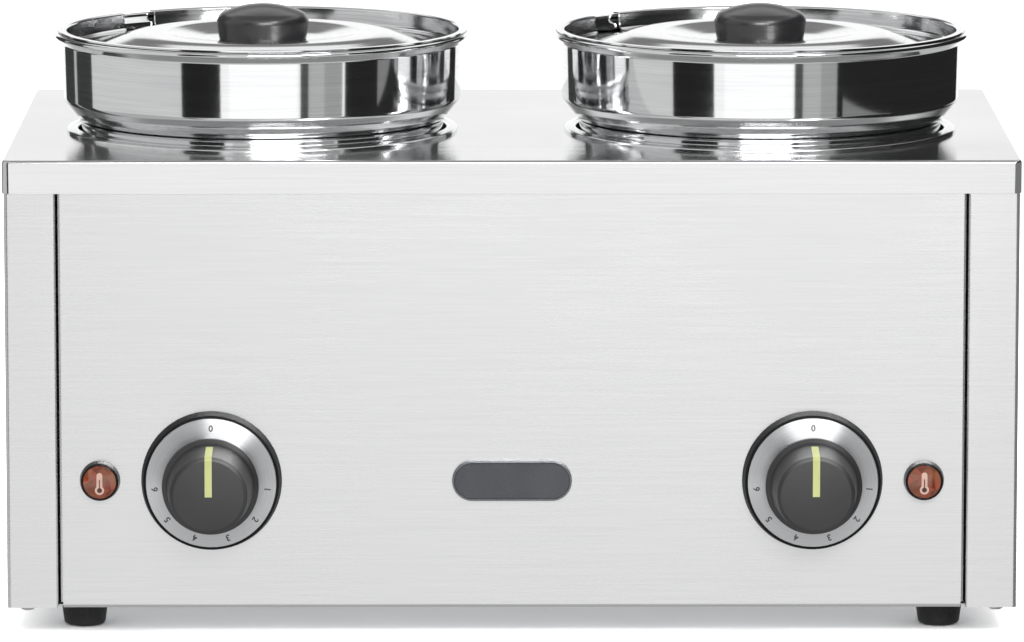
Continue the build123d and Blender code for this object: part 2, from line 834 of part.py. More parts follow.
    # Sensing bulb beside the stud, and its capillary down and forward to the thermostat
    dial_x = sign * control_x
    thermostat_back = body_front + sheet + thermostat_depth
    bulb_x = pot_x + sign * bulb_offset
    bulb_z = well_under - element_radius
    bulb_front = pot_y - bulb_length / 2
    capillary_low = clamp_top - capillary_drop
    capillary_points = [
        (bulb_x, bulb_front, bulb_z),
        (bulb_x, bulb_front - capillary_lead, bulb_z),
        (bulb_x, bulb_front - capillary_lead, capillary_low),
        (dial_x, thermostat_back + capillary_lead, capillary_low),
        (dial_x, thermostat_back + capillary_lead, control_z + capillary_entry),
        (dial_x, thermostat_back, control_z + capillary_entry),
    ]
    with BuildPart() as bulb:
        with BuildSketch(Plane.XZ.offset(-bulb_front)):
            with Locations((bulb_x, bulb_z)):
                Circle(element_radius)
        extrude(amount=-bulb_length)
        add(wire_run(capillary_points, capillary_radius))
    bulb.part.label = f"sensing_bulb_{side}"
    export_step(bulb.part, f"parts/sensing_bulb_{side}.step")

# Clamp studs and nuts, one of each under the middle of each well
with BuildPart() as clamp_studs:
    with BuildSketch(Plane.XY.offset(well_under)):
        with Locations(*well_points):
            Circle(clamp_stud_radius)
    extrude(amount=-clamp_stud_length)
    chamfer(clamp_studs.edges().group_by(Axis.Z)[0], clamp_stud_radius / 5)
clamp_studs.part.label = "clamp_studs"
export_step(clamp_studs.part, "parts/clamp_studs.step")

with BuildPart() as clamp_nuts:
    with BuildSketch(Plane.XY.offset(clamp_bottom)):
        with Locations(*well_points):
            RegularPolygon(clamp_nut_across / 2, 6, major_radius=False)
            Circle(clamp_stud_radius + screw_clearance, mode=Mode.SUBTRACT)
    extrude(amount=-clamp_nut_height)
clamp_nuts.part.label = "clamp_nuts"
export_step(clamp_nuts.part, "parts/clamp_nuts.step")

# Controls on the front panel
for side, sign in sides:
    dial_center = (sign * control_x, body_front, control_z)
    control_plane = Plane(origin=dial_center, x_dir=(1, 0, 0), z_dir=(0, -1, 0))
    control_axis = Axis(dial_center, (0, -1, 0))
    control_section = Plane(origin=dial_center, x_dir=(1, 0, 0), z_dir=(0, 0, 1))

    # Bezel: a black ring with a web against the panel and a rebate for the dial plate
    with BuildPart() as bezel:
        with BuildSketch(control_plane):
            Circle(bezel_radius)
        extrude(amount=bezel_height, taper=degrees(atan2(bezel_radius - bezel_front_radius, bezel_height)))
        fillet(bezel.edges().group_by(Axis.Y)[0], bezel_edge)
        with BuildSketch(control_plane.offset(bezel_height - dial_thickness)):
            Circle(dial_radius)
        extrude(amount=dial_thickness, mode=Mode.SUBTRACT)
        with BuildSketch(control_plane.offset(bezel_web)):
            Circle(dial_radius - dial_ledge)
        extrude(amount=bezel_height, mode=Mode.SUBTRACT)
        with BuildSketch(control_plane):
            Circle(bushing_radius + bushing_clearance)
            with Locations((0, thermostat_screw_spacing / 2), (0, -thermostat_screw_spacing / 2)):
                Circle(thermostat_screw_radius + screw_clearance)
        extrude(amount=bezel_web, mode=Mode.SUBTRACT)
    bezel.part.label = f"dial_bezel_{side}"
    export_step(bezel.part, f"parts/dial_bezel_{side}.step")

    # Dial plate: a thin brushed disc in the bezel's rebate
    with BuildPart() as dial:
        with BuildSketch(control_plane.offset(bezel_height)):
            Circle(dial_radius - dial_clearance)
            Circle(dial_bore_radius, mode=Mode.SUBTRACT)
        extrude(amount=-dial_thickness)
    dial.part.label = f"dial_plate_{side}"
    export_step(dial.part, f"parts/dial_plate_{side}.step")

    # Pointer: a pale strip let into the knob from its side over the rim to the middle of its face
    knob_side_start = knob_back + knob_skirt_height + knob_skirt_edge
    knob_side_slope = (knob_body_radius - knob_face_radius) / (knob_reach - knob_face_chamfer - knob_side_start)
    pointer_plane = Plane(origin=dial_center, x_dir=(0, -1, 0), z_dir=(-1, 0, 0))
    with BuildPart() as pointer:
        with BuildSketch(pointer_plane):
            add(sheet_section(
                [
                    (
                        knob_side_start + pointer_rise,
                        knob_body_radius - knob_side_slope * pointer_rise + pointer_proud,
                    ),
                    (knob_reach - knob_face_chamfer + pointer_proud, knob_face_radius + pointer_proud),
                    (knob_reach + pointer_proud, knob_face_radius - knob_face_chamfer + pointer_proud),
                    (knob_reach + pointer_proud, -pointer_tail),
                ],
                knob_edge_radius,
                Side.RIGHT,
                pointer_depth + pointer_proud,
            ))
        extrude(amount=pointer_width / 2, both=True)
    pointer.part.label = f"knob_pointer_{side}"
    export_step(pointer.part, f"parts/knob_pointer_{side}.step")

    # Knob: a waisted foot, a skirt and a tapered grip, with a D-shaped socket for the shaft
    with BuildPart() as knob:
        with BuildSketch(control_section):
            with BuildLine():
                FilletPolyline(
                    (0, -knob_back),
                    (knob_base_radius, -knob_back),
                    (knob_skirt_radius - knob_skirt_edge, -knob_back - knob_neck_height),
                    (knob_skirt_radius, -knob_back - knob_neck_height - knob_skirt_edge),
                    (knob_skirt_radius, -knob_back - knob_skirt_height + knob_skirt_edge),
                    (knob_body_radius, -knob_side_start),
                    (knob_face_radius, -knob_reach + knob_face_chamfer),
                    (knob_face_radius - knob_face_chamfer, -knob_reach),
                    (0, -knob_reach),
                    radius=knob_edge_radius,
                )
                Line((0, -knob_reach), (0, -knob_back))
            make_face()
        revolve(axis=control_axis)
        with BuildSketch(control_plane.offset(knob_back)):
            Circle(shaft_radius + shaft_clearance)
            with Locations((0, shaft_flat - shaft_radius - shaft_clearance)):
                Rectangle(2 * knob_base_radius, shaft_radius, align=(Align.CENTER, Align.MAX), mode=Mode.SUBTRACT)
        extrude(amount=knob_socket_depth, mode=Mode.SUBTRACT)
        add(pointer.part, mode=Mode.SUBTRACT)
    knob.part.label = f"control_knob_{side}"
    export_step(knob.part, f"parts/control_knob_{side}.step")

    # Shaft: from inside the thermostat out through the dial into the knob, with a flat at its end
    shaft_back = -sheet - shaft_insertion
    shaft_front = knob_back + knob_socket_depth - shaft_end_gap
    with BuildPart() as shaft:
        with BuildSketch(control_plane.offset(shaft_back)):
            Circle(shaft_radius)
        extrude(amount=shaft_front - shaft_back)
        with BuildSketch(control_plane.offset(knob_back)):
            with Locations((0, shaft_flat - shaft_radius)):
                Rectangle(4 * shaft_radius, shaft_radius, align=(Align.CENTER, Align.MAX))
        extrude(amount=knob_socket_depth, mode=Mode.SUBTRACT)
    shaft.part.label = f"thermostat_shaft_{side}"
    export_step(shaft.part, f"parts/thermostat_shaft_{side}.step")

    # Thermostat: a block behind the panel with a bushing through it and four blade terminals
    blade_places = [(x, z) for x in (-blade_spread, blade_spread) for z in (-blade_rise, blade_rise)]
    with BuildPart() as thermostat:
        with BuildSketch(control_plane.offset(-sheet)):
            RectangleRounded(thermostat_width, thermostat_height, thermostat_corner)
        extrude(amount=-thermostat_depth)
        with BuildSketch(control_plane.offset(-sheet)):
            Circle(bushing_radius)
        extrude(amount=sheet + bushing_reach)
        with BuildSketch(control_plane.offset(bushing_reach)):
            Circle(shaft_radius + shaft_clearance)
        extrude(amount=shaft_back - bushing_reach - shaft_end_gap, mode=Mode.SUBTRACT)
        with BuildSketch(control_plane.offset(-sheet)):
            with Locations((0, thermostat_screw_spacing / 2), (0, -thermostat_screw_spacing / 2)):
                Circle(thermostat_screw_radius + screw_clearance)
        extrude(amount=-thermostat_screw_depth - screw_tip, mode=Mode.SUBTRACT)
        with BuildSketch(control_plane.offset(-sheet - thermostat_depth)):
            with Locations(*blade_places):
                Rectangle(tab_thickness, tab_width)
        extrude(amount=-tab_length)
    thermostat.part.label = f"thermostat_{side}"
    export_step(thermostat.part, f"parts/thermostat_{side}.step")

    # Pilot lamp: a round bezel on the panel, a crowned lens in it, and a barrel held by a nut behind
    pilot_center = (sign * pilot_x, body_front, control_z)
    pilot_plane = Plane(origin=pilot_center, x_dir=(1, 0, 0), z_dir=(0, -1, 0))
    pilot_axis = Axis(pilot_center, (0, -1, 0))
    with BuildPart() as pilot_bezel:
        with BuildSketch(pilot_plane):
            Circle(pilot_bezel_radius)
        extrude(
            amount=pilot_bezel_height,
            taper=degrees(atan2(pilot_bezel_radius - pilot_bezel_front_radius, pilot_bezel_height)),
        )
        fillet(pilot_bezel.edges().group_by(Axis.Y)[0], pilot_bezel_edge)
        with BuildSketch(pilot_plane.offset(pilot_web)):
            Circle(pilot_lens_radius + pilot_clearance)
        extrude(amount=pilot_bezel_height, mode=Mode.SUBTRACT)
        with BuildSketch(pilot_plane):
            Circle(pilot_barrel_radius + pilot_clearance)
        extrude(amount=pilot_web, mode=Mode.SUBTRACT)
    pilot_bezel.part.label = f"pilot_bezel_{side}"
    export_step(pilot_bezel.part, f"parts/pilot_bezel_{side}.step")

    with BuildPart() as pilot_lens:
        with BuildSketch(Plane(origin=pilot_center, x_dir=(1, 0, 0), z_dir=(0, 0, 1))):
            with BuildLine():
                Polyline(
                    (0, -pilot_web - pilot_lens_height),
                    (0, -pilot_web),
                    (pilot_lens_radius, -pilot_web),
                    (pilot_lens_radius, -pilot_web - pilot_lens_height + pilot_lens_crown),
                )
                add(crown_arc(
                    pilot_lens_radius,
                    -pilot_web - pilot_lens_height + pilot_lens_crown,
                    -pilot_lens_crown,
                ))
            make_face()
        revolve(axis=pilot_axis)
    pilot_lens.part.label = f"pilot_lens_{side}"
    export_step(pilot_lens.part, f"parts/pilot_lens_{side}.step")

    with BuildPart() as pilot_body:
        with BuildSketch(pilot_plane.offset(pilot_web)):
            Circle(pilot_barrel_radius)
        extrude(amount=-pilot_web - pilot_barrel_depth)
        with BuildSketch(pilot_plane.offset(-pilot_barrel_depth)):
            with Locations((-pilot_barrel_radius / 2, 0), (pilot_barrel_radius / 2, 0)):
                Rectangle(tab_thickness, tab_width)
        extrude(amount=-tab_length)
    pilot_body.part.label = f"pilot_body_{side}"
    export_step(pilot_body.part, f"parts/pilot_body_{side}.step")

# Thermostat screws: clamp each bezel's web, the panel and the thermostat together
screw_drop = thermostat_screw_spacing / 2
thermostat_screw_points = [(x, z) for x in control_xs for z in (-screw_drop, screw_drop)]
with BuildPart() as thermostat_screws:
    with BuildSketch(front_plane.offset(bezel_web)):
        with Locations(*thermostat_screw_points):
            Circle(thermostat_screw_head_radius)
    extrude(amount=thermostat_screw_head_height)
    fillet(thermostat_screws.edges().group_by(Axis.Y)[0], thermostat_screw_head_height / 3)
    with BuildSketch(front_plane.offset(bezel_web)):
        with Locations(*thermostat_screw_points):
            Circle(thermostat_screw_radius)
    extrude(amount=-bezel_web - sheet - thermostat_screw_depth)
thermostat_screws.part.label = "thermostat_screws"
export_step(thermostat_screws.part, "parts/thermostat_screws.step")

# Pilot nuts: hold the lamp barrels behind the panel
with BuildPart() as pilot_nuts:
    with BuildSketch(front_plane.offset(-sheet)):
        with Locations(*[(x, 0) for x in pilot_xs]):
            RegularPolygon(pilot_nut_radius, 6, major_radius=False)
            Circle(pilot_barrel_radius + pilot_clearance, mode=Mode.SUBTRACT)
    extrude(amount=-pilot_nut_height)
pilot_nuts.part.label = "pilot_nuts"
export_step(pilot_nuts.part, "parts/pilot_nuts.step")

# Cable gland: hexagon flange and dome nut outside the rear panel, thread and locknut inside
with BuildPart() as cable_gland:
    with BuildSketch(rear_plane):
        with Locations((-gland_x, 0)):
            RegularPolygon(gland_across / 2, 6, major_radius=False)
    extrude(amount=gland_flange_height)
    with BuildSketch(rear_plane.offset(gland_flange_height)):
        with Locations((-gland_x, 0)):
            Circle(gland_nut_radius)
    extrude(amount=gland_nut_height)
    fillet(cable_gland.edges().group_by(Axis.Y)[-1], gland_nut_crown)
    with BuildSketch(rear_plane):
        with Locations((-gland_x, 0)):
            Circle(gland_thread_radius)
    extrude(amount=-gland_thread_depth)
    with BuildSketch(rear_plane.offset(gland_reach)):
        with Locations((-gland_x, 0)):
            Circle(gland_bore_radius)
    extrude(amount=-gland_reach - gland_thread_depth, mode=Mode.SUBTRACT)
cable_gland.part.label = "cable_gland"
export_step(cable_gland.part, "parts/cable_gland.step")

with BuildPart() as gland_locknut:
    with BuildSketch(rear_plane.offset(-sheet)):
        with Locations((-gland_x, 0)):
            RegularPolygon(locknut_across / 2, 6, major_radius=False)
            Circle(gland_thread_radius + screw_clearance, mode=Mode.SUBTRACT)
    extrude(amount=-locknut_height)
gland_locknut.part.label = "gland_locknut"
export_step(gland_locknut.part, "parts/gland_locknut.step")

# Terminal block: a stepped block on the base plate, with a screw well for each way
terminal_y = rear_panel_front - terminal_setback
terminal_front = terminal_y - terminal_width / 2
terminal_pitch = terminal_length / terminal_ways
terminal_xs = [(way - (terminal_ways - 1) / 2) * terminal_pitch + terminal_x for way in range(terminal_ways)]
with BuildPart() as terminal_block:
    with BuildSketch(Plane.YZ.offset(terminal_x - terminal_length / 2)):
        with BuildLine():
            Polyline(
                (terminal_front, base_top),
                (terminal_y + terminal_width / 2, base_top),
                (terminal_y + terminal_width / 2, base_top + terminal_height - terminal_step),
                (terminal_y + terminal_width / 4, base_top + terminal_height),
                (terminal_y - terminal_width / 4, base_top + terminal_height),
                (terminal_front, base_top + terminal_height - terminal_step),
                close=True,
            )
        make_face()
    extrude(amount=terminal_length)
    with BuildSketch(Plane.XY.offset(base_top + terminal_height)):
        with Locations(*[(x, terminal_y) for x in terminal_xs]):
            Circle(terminal_hole_radius)
    extrude(amount=-terminal_hole_depth, mode=Mode.SUBTRACT)
terminal_block.part.label = "terminal_block"
export_step(terminal_block.part, "parts/terminal_block.step")

# Earth stud on the base plate, with its nut
earth_place = (earth_x, rear_panel_front - earth_setback)
with BuildPart() as earth_stud:
    with BuildSketch(Plane.XY.offset(base_top)):
        with Locations(earth_place):
            Circle(earth_stud_radius)
    extrude(amount=earth_stud_length)
earth_stud.part.label = "earth_stud"
export_step(earth_stud.part, "parts/earth_stud.step")

with BuildPart() as earth_nut:
    with BuildSketch(Plane.XY.offset(base_top)):
        with Locations(earth_place):
            RegularPolygon(earth_nut_across / 2, 6, major_radius=False)
            Circle(earth_stud_radius + screw_clearance, mode=Mode.SUBTRACT)
    extrude(amount=earth_nut_height)
earth_nut.part.label = "earth_nut"
export_step(earth_nut.part, "parts/earth_nut.step")

# Internal wires of each side: terminal to thermostat, thermostat to one element leg,
# terminal to the other leg, and pilot lamp to thermostat
wire_level = base_top + wire_height
for side, sign in sides:
    pot_x = sign * pot_spacing / 2
    lamp_tab = sign * (pilot_x - pilot_barrel_radius / 2)
    supply_x, return_x = (terminal_xs[0], terminal_xs[1]) if side == "left" else (terminal_xs[3], terminal_xs[4])
    blade_y = body_front + sheet + thermostat_depth + tab_length
    pilot_y = body_front + pilot_barrel_depth + tab_length
    outer_blade = sign * (control_x + blade_spread)
    inner_blade = sign * (control_x - blade_spread)
    low_blade = control_z - blade_rise
    high_blade = control_z + blade_rise
    entry_z = base_top + terminal_entry_height
    half_gap = radians(element_gap_angle / 2)
    leg_dx = element_ring_radius * sin(half_gap) - element_bend_radius * cos(half_gap)
    leg_y = pot_y + element_ring_radius * cos(half_gap) + element_bend_radius * sin(half_gap)
    leg_z = well_under - element_radius - element_bend_radius - element_leg_length
    outer_leg = pot_x + sign * leg_dx
    inner_leg = pot_x - sign * leg_dx
    with BuildPart() as wiring:
        add(wire_run(
            [
                (supply_x, terminal_front, entry_z),
                (supply_x, terminal_front - wire_lead, entry_z),
                (inner_blade, blade_y + 2 * wire_lead, wire_level),
                (inner_blade, blade_y + wire_lead, low_blade),
                (inner_blade, blade_y, low_blade),
            ],
            wire_radius,
        ))
        add(wire_run(
            [
                (inner_blade, blade_y, high_blade),
                (inner_blade, blade_y + wire_lead, high_blade),
                (inner_blade, blade_y + 2 * wire_lead, leg_z - wire_drop),
                (outer_leg, leg_y - wire_lead, leg_z - wire_drop),
                (outer_leg, leg_y, leg_z - wire_lead),
                (outer_leg, leg_y, leg_z),
            ],
            wire_radius,
        ))
        add(wire_run(
            [
                (return_x, terminal_front, entry_z),
                (return_x, terminal_front - wire_lead, entry_z),
                (inner_leg, leg_y, leg_z - 2 * wire_lead),
                (inner_leg, leg_y, leg_z),
            ],
            wire_radius,
        ))
        add(wire_run(
            [
                (lamp_tab, pilot_y, control_z),
                (lamp_tab, pilot_y + wire_lead, control_z),
                (outer_blade, blade_y + wire_lead, high_blade),
                (outer_blade, blade_y, high_blade),
            ],
            wire_radius,
        ))
    wiring.part.label = f"wiring_{side}"
    export_step(wiring.part, f"parts/wiring_{side}.step")
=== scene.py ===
"""Looks of the electric chafing dish: two round pots in heated wells, in a folded stainless case.

Lengths are in millimetres where a name is a size of the dish, and turned to metres as a mesh is made.
+X is to the right, +Y to the back, +Z up, and the dials face -Y.
"""
from math import atan2, cos, hypot, pi, radians, sin, tan

import bmesh
import bpy
from mathutils import Matrix, Vector


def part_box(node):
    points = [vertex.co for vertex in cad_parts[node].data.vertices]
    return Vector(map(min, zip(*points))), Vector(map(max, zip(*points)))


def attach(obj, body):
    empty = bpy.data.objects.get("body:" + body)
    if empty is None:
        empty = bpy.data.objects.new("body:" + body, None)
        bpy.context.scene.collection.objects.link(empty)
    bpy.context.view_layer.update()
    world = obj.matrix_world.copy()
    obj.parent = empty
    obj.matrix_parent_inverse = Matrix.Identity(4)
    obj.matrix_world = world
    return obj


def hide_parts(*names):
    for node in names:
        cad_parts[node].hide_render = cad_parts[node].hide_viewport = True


bl_info = {
    "name": "Electric chafing dish",
    "version": (1, 0, 0),
    "blender": (4, 5, 0),
    "location": "3D View > Sidebar > Chafing dish",
    "description": "Builds the visible pieces of a countertop chafing dish around its packed frame",
    "category": "Add Mesh",
}

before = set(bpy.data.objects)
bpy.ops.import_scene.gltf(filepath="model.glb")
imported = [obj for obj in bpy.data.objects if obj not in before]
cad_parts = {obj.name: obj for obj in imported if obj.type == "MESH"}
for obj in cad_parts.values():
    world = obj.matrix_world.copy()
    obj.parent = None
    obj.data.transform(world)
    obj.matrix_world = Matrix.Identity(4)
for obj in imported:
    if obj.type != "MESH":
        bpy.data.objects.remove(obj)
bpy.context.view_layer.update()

MM = 0.001
SIDES = ("left", "right")

# Pots, as outer sizes of the sheet
DRUM_RADIUS = 101.9
DRUM_FOOT_RADIUS = 101.2
NECK_RADIUS = 92.2
POT_FOOT_RADIUS = 91.0
NECK_HEIGHT = 140.0
SHOULDER_HEIGHT = 11.4
RIM_BEAD_RADIUS = 1.5
RIM_BEAD_OFFSET = 2.7
RIM_FLARE_HEIGHT = 4.0
SHEET = 0.8

# Wells
WELL_RADIUS = 93.6
LIP_WIDTH = 6.2
LIP_HEIGHT = 3.1
LIP_EDGE_HEIGHT = 1.8
RIB_LENGTH = 42.0
RIB_WIDTH = 7.0
RIB_HEIGHT = 4.0
RIB_INNER_RADIUS = 24.0
RIB_ROUND = 1.3

# Lids
LID_FLANGE_RADIUS = 104.0
LID_WALL_RADIUS = 99.8
LID_WALL_TAPER = 0.6
LID_FLOOR_WIDTH = 13.0
LID_FLOOR_DROP = 8.9
LID_DOME_RISE = 7.2
LID_HUB_DROP = 3.9
LID_DOME_OUTER_RADIUS = 64.0
LID_DOME_INNER_RADIUS = 50.0
LID_HUB_RADIUS = 27.0
NOTCH_WIDTH = 20.5
NOTCH_LENGTH = 15.0
NOTCH_ANGLES = {"left": 131.8, "right": 140.8}

# Lid knobs
GRIP_BASE_RADIUS = 22.2
GRIP_RADIUS = 23.4
GRIP_HEIGHT = 18.0
GRIP_WAIST_HEIGHT = 8.8
GRIP_SHOULDER_RADIUS = 5.5

# Dials and control knobs. The bezel has a floor, and a seat that the dial plate lies in
BEZEL_RADIUS = 35.0
BEZEL_FRONT_RADIUS = 33.6
BEZEL_HEIGHT = 7.9
DIAL_RADIUS = 32.4
DIAL_BORE_RADIUS = 9.0
DIAL_THICKNESS = 0.8
DIAL_CLEARANCE = 0.1
BEZEL_FLOOR = 2.0
BEZEL_SEAT_WIDTH = 2.1
KNOB_CLEARANCE = 0.6
KNOB_HEIGHT = 37.4
KNOB_SKIRT_RADIUS = 24.0
KNOB_BASE_RADIUS = 19.5
KNOB_NECK_HEIGHT = 7.0
KNOB_SKIRT_HEIGHT = 11.5
KNOB_BODY_RADIUS = 21.6
KNOB_FACE_RADIUS = 19.2
KNOB_FACE_CHAMFER = 1.8
KNOB_FACE_CROWN = 1.0
KNOB_EDGE = 0.8
NUMERAL_RADIUS = 28.0
NUMERAL_DROP = 0.7
NUMERAL_HEIGHT = 3.1
NUMERAL_STROKE = 0.11
# A digit's height, as a share of its font's size
DIGIT_SHARE = 0.7
INK_THICKNESS = 0.02
NUMERAL_ANGLES = (0, 95, 129, 163, 197, 231, 265)

# Pilot lamps
LAMP_BEZEL_RADIUS = 10.1
LAMP_BEZEL_FRONT_RADIUS = 9.3
LAMP_BEZEL_HEIGHT = 5.6
LAMP_BODY_RADIUS = 6.2
LENS_RADIUS = 8.3
LENS_CROWN = 1.0
LENS_BASE = 1.0
LENS_HEIGHT = 5.4
LENS_CLEARANCE = 0.15
LENS_PRISM = 3.4

# The sign on a lamp's lens, with heights from the lens's middle
SIGN_BULB_HEIGHT = -4.0
SIGN_BULB_RADIUS = 2.3
SIGN_STEM_WIDTH = 2.9
SIGN_STEM_TOP = 3.4
THREAD_BULB_RADIUS = 1.25
THREAD_WIDTH = 0.5
THREAD_TOP = 1.4
SIGN_LIFT = 0.03
SIGN_STEM_LIFT = 0.035
THREAD_LIFT = 0.06

# Badge, feet and fasteners
BADGE_LENGTH = 59.5
BADGE_HEIGHT = 20.0
BADGE_THICKNESS = 2.2
BADGE_RIM_WIDTH = 1.3
BADGE_RIM_HEIGHT = 0.5
BADGE_RIM_SLOPE = 0.35
BADGE_EDGE_ROUND = 0.45
FOOT_TOP_RADIUS = 12.0
FOOT_BOTTOM_RADIUS = 10.2
FOOT_HEIGHT = 13.8
FOOT_RECESS_RADIUS = 5.4
FOOT_RECESS_DEPTH = 6.0
SCREW_HEAD_RADIUS = 4.0
SCREW_HEAD_HEIGHT = 2.4
SCREW_FLAT_RADIUS = 3.0
SCREW_EDGE_HEIGHT = 1.2
RECESS_LENGTH = 3.6
RECESS_WIDTH = 0.8
RECESS_DEPTH = 0.12
RECESS_PROUD = 0.03

# How finely round pieces are turned
FINE_STEPS = 192
PLAIN_STEPS = 96
ARC_STEPS = 8
LENS_STEPS = 6
NOTCH_STEPS = 48

# Edges sharper than this stay sharp, in degrees
CREASE = 35

# The middle share of a noise's values, which is spread over a whole range
NOISE_LOW = 0.3
NOISE_HIGH = 0.7

# Slow mottling of sheet and of plastic, and the radius at which a streak's length is given
SHEET_CLOUD = 140.0
PLASTIC_CLOUD = 18.0
STREAK_RADIUS = 100.0

# Brightness of the room that metal mirrors: the ground's, and then each next one with the two angles over
# the horizon, in degrees, between which it is reached
ROOM_GROUND = 0.55
ROOM_TONES = (
    (-22, -14, 1.12),
    (13, 16, 0.22),
    (28, 32, 1.1),
    (43, 52, 0.4),
)


def linear(hex_colour):
    """An sRGB hex value, such as D8D9DA, as linear red, green, blue and alpha."""
    channels = [int(hex_colour[i:i + 2], 16) / 255 for i in (0, 2, 4)]
    return (*[c / 12.92 if c <= 0.04045 else ((c + 0.055) / 1.055) ** 2.4 for c in channels], 1.0)


def add_node(tree, kind, inputs=None, **settings):
    """Adds a shader node: its settings, then its inputs as values or as links from other sockets."""
    made = tree.nodes.new(kind)
    for name, value in settings.items():
        setattr(made, name, value)
    for name, value in (inputs or {}).items():
        if isinstance(value, bpy.types.NodeSocket):
            tree.links.new(value, made.inputs[name])
        else:
            made.inputs[name].default_value = value
    return made


def new_material(name, shader):
    """A material with one Principled shader, given values for that shader's own sockets."""
    made = bpy.data.materials.new(name)
    made.use_nodes = True
    tree = made.node_tree
    tree.nodes.clear()
    bsdf = add_node(tree, "ShaderNodeBsdfPrincipled", shader)
    add_node(tree, "ShaderNodeOutputMaterial", {"Surface": bsdf.outputs["BSDF"]})
    return made, tree, bsdf


def pattern_space(tree, stretch, centre=(0, 0, 0)):
    """Object coordinates from a centre, each counted in lengths of its own stretch in millimetres."""
    place = add_node(tree, "ShaderNodeTexCoord")
    moved = add_node(
        tree, "ShaderNodeVectorMath", {0: place.outputs["Object"], 1: centre}, operation="SUBTRACT"
    )
    counts = tuple(1 / (length * MM) for length in stretch)
    scaled = add_node(tree, "ShaderNodeVectorMath", {0: moved.outputs[0], 1: counts}, operation="MULTIPLY")
    return scaled.outputs[0]


def ring_space(tree, centre, axis, width, arc):
    """Coordinates on a surface turned about an axis: across its rings, along them, and up the axis.

    Width is the rings' spacing in millimetres, and arc is a streak's length at the streak radius.
    """
    place = add_node(tree, "ShaderNodeTexCoord")
    moved = add_node(
        tree, "ShaderNodeVectorMath", {0: place.outputs["Object"], 1: centre}, operation="SUBTRACT"
    )
    split = add_node(tree, "ShaderNodeSeparateXYZ", {0: moved.outputs[0]})
    x, y = split.outputs["X"], split.outputs["Y" if axis == "Z" else "Z"]
    flat = add_node(tree, "ShaderNodeCombineXYZ", {"X": x, "Y": y})
    radius = add_node(tree, "ShaderNodeVectorMath", {0: flat.outputs[0]}, operation="LENGTH")
    angle = add_node(tree, "ShaderNodeMath", {0: y, 1: x}, operation="ARCTAN2")
    turned_place = add_node(
        tree, "ShaderNodeCombineXYZ",
        {"X": radius.outputs["Value"], "Y": angle.outputs[0], "Z": split.outputs[axis]},
    )
    counts = (1 / (width * MM), STREAK_RADIUS / arc, 1 / (width * MM))
    scaled = add_node(
        tree, "ShaderNodeVectorMath", {0: turned_place.outputs[0], 1: counts}, operation="MULTIPLY"
    )
    return scaled.outputs[0]


def across_rings(tree, centre, axis):
    """The direction in a turned surface that crosses the rings left by the lathe."""
    place = add_node(tree, "ShaderNodeNewGeometry")
    arm = add_node(
        tree, "ShaderNodeVectorMath", {0: place.outputs["Position"], 1: centre}, operation="SUBTRACT"
    )
    spindle = (0, 0, 1) if axis == "Z" else (0, 1, 0)
    along = add_node(tree, "ShaderNodeVectorMath", {0: arm.outputs[0], 1: spindle}, operation="CROSS_PRODUCT")
    cross = add_node(
        tree, "ShaderNodeVectorMath", {0: along.outputs[0], 1: place.outputs["Normal"]},
        operation="CROSS_PRODUCT",
    )
    return cross.outputs[0]


def brushed_across(tree, bsdf, across):
    """Turns the shader's wider blur across the grain, along a direction that is fixed or from a socket."""
    unit = add_node(tree, "ShaderNodeVectorMath", {0: across}, operation="NORMALIZE")
    tree.links.new(unit.outputs[0], bsdf.inputs["Tangent"])


def patterned(tree, bsdf, tone, grain, colours, roughness, depth, haze=0.0):
    """Spreads a tone over two colours, and a grain over a span of roughness and a relief in millimetres.

    Haze is roughness on top of the grain's, as a value or a socket.
    """
    share = add_node(
        tree, "ShaderNodeMapRange", {"Value": tone, "From Min": NOISE_LOW, "From Max": NOISE_HIGH}
    )
    dark, light = (linear(colour) for colour in colours)
    colour = add_node(
        tree, "ShaderNodeMix", {"Factor": share.outputs["Result"], "A": dark, "B": light}, data_type="RGBA"
    )
    blur = add_node(
        tree, "ShaderNodeMapRange",
        {"Value": grain, "From Min": NOISE_LOW, "From Max": NOISE_HIGH,
         "To Min": roughness[0], "To Max": roughness[1]},
    )
    total = add_node(tree, "ShaderNodeMath", {0: blur.outputs["Result"], 1: haze}, operation="ADD")
    relief = add_node(tree, "ShaderNodeBump", {"Height": grain, "Distance": depth * MM, "Strength": 1.0})
    tree.links.new(colour.outputs["Result"], bsdf.inputs["Base Color"])
    tree.links.new(total.outputs[0], bsdf.inputs["Roughness"])
    tree.links.new(relief.outputs["Normal"], bsdf.inputs["Normal"])


def sheet_steel(name, colours, grain, across, roughness, brushing, grain_depth):
    """Brushed stainless sheet: a belt leaves fine straight grain, which spreads reflections across it.

    Belt grain is about a tenth of a millimetre wide. It is drawn coarser, as wide as it needs to show.
    """
    made, tree, bsdf = new_material(name, {"Metallic": 1.0, "Anisotropic": brushing})
    fine = add_node(
        tree, "ShaderNodeTexNoise",
        {"Vector": pattern_space(tree, grain), "Scale": 1.0, "Detail": 3.0, "Roughness": 0.65},
    ).outputs["Fac"]
    cloud = add_node(
        tree, "ShaderNodeTexNoise",
        {"Vector": pattern_space(tree, (SHEET_CLOUD,) * 3), "Scale": 1.0, "Detail": 2.0, "Roughness": 0.5},
    )
    haze = add_node(
        tree, "ShaderNodeMapRange",
        {"Value": cloud.outputs["Fac"], "From Min": NOISE_LOW, "From Max": NOISE_HIGH,
         "To Min": roughness - 0.02, "To Max": roughness + 0.02},
    )
    patterned(tree, bsdf, fine, fine, colours, (-0.015, 0.015), grain_depth, haze.outputs["Result"])
    brushed_across(tree, bsdf, across)
    return made


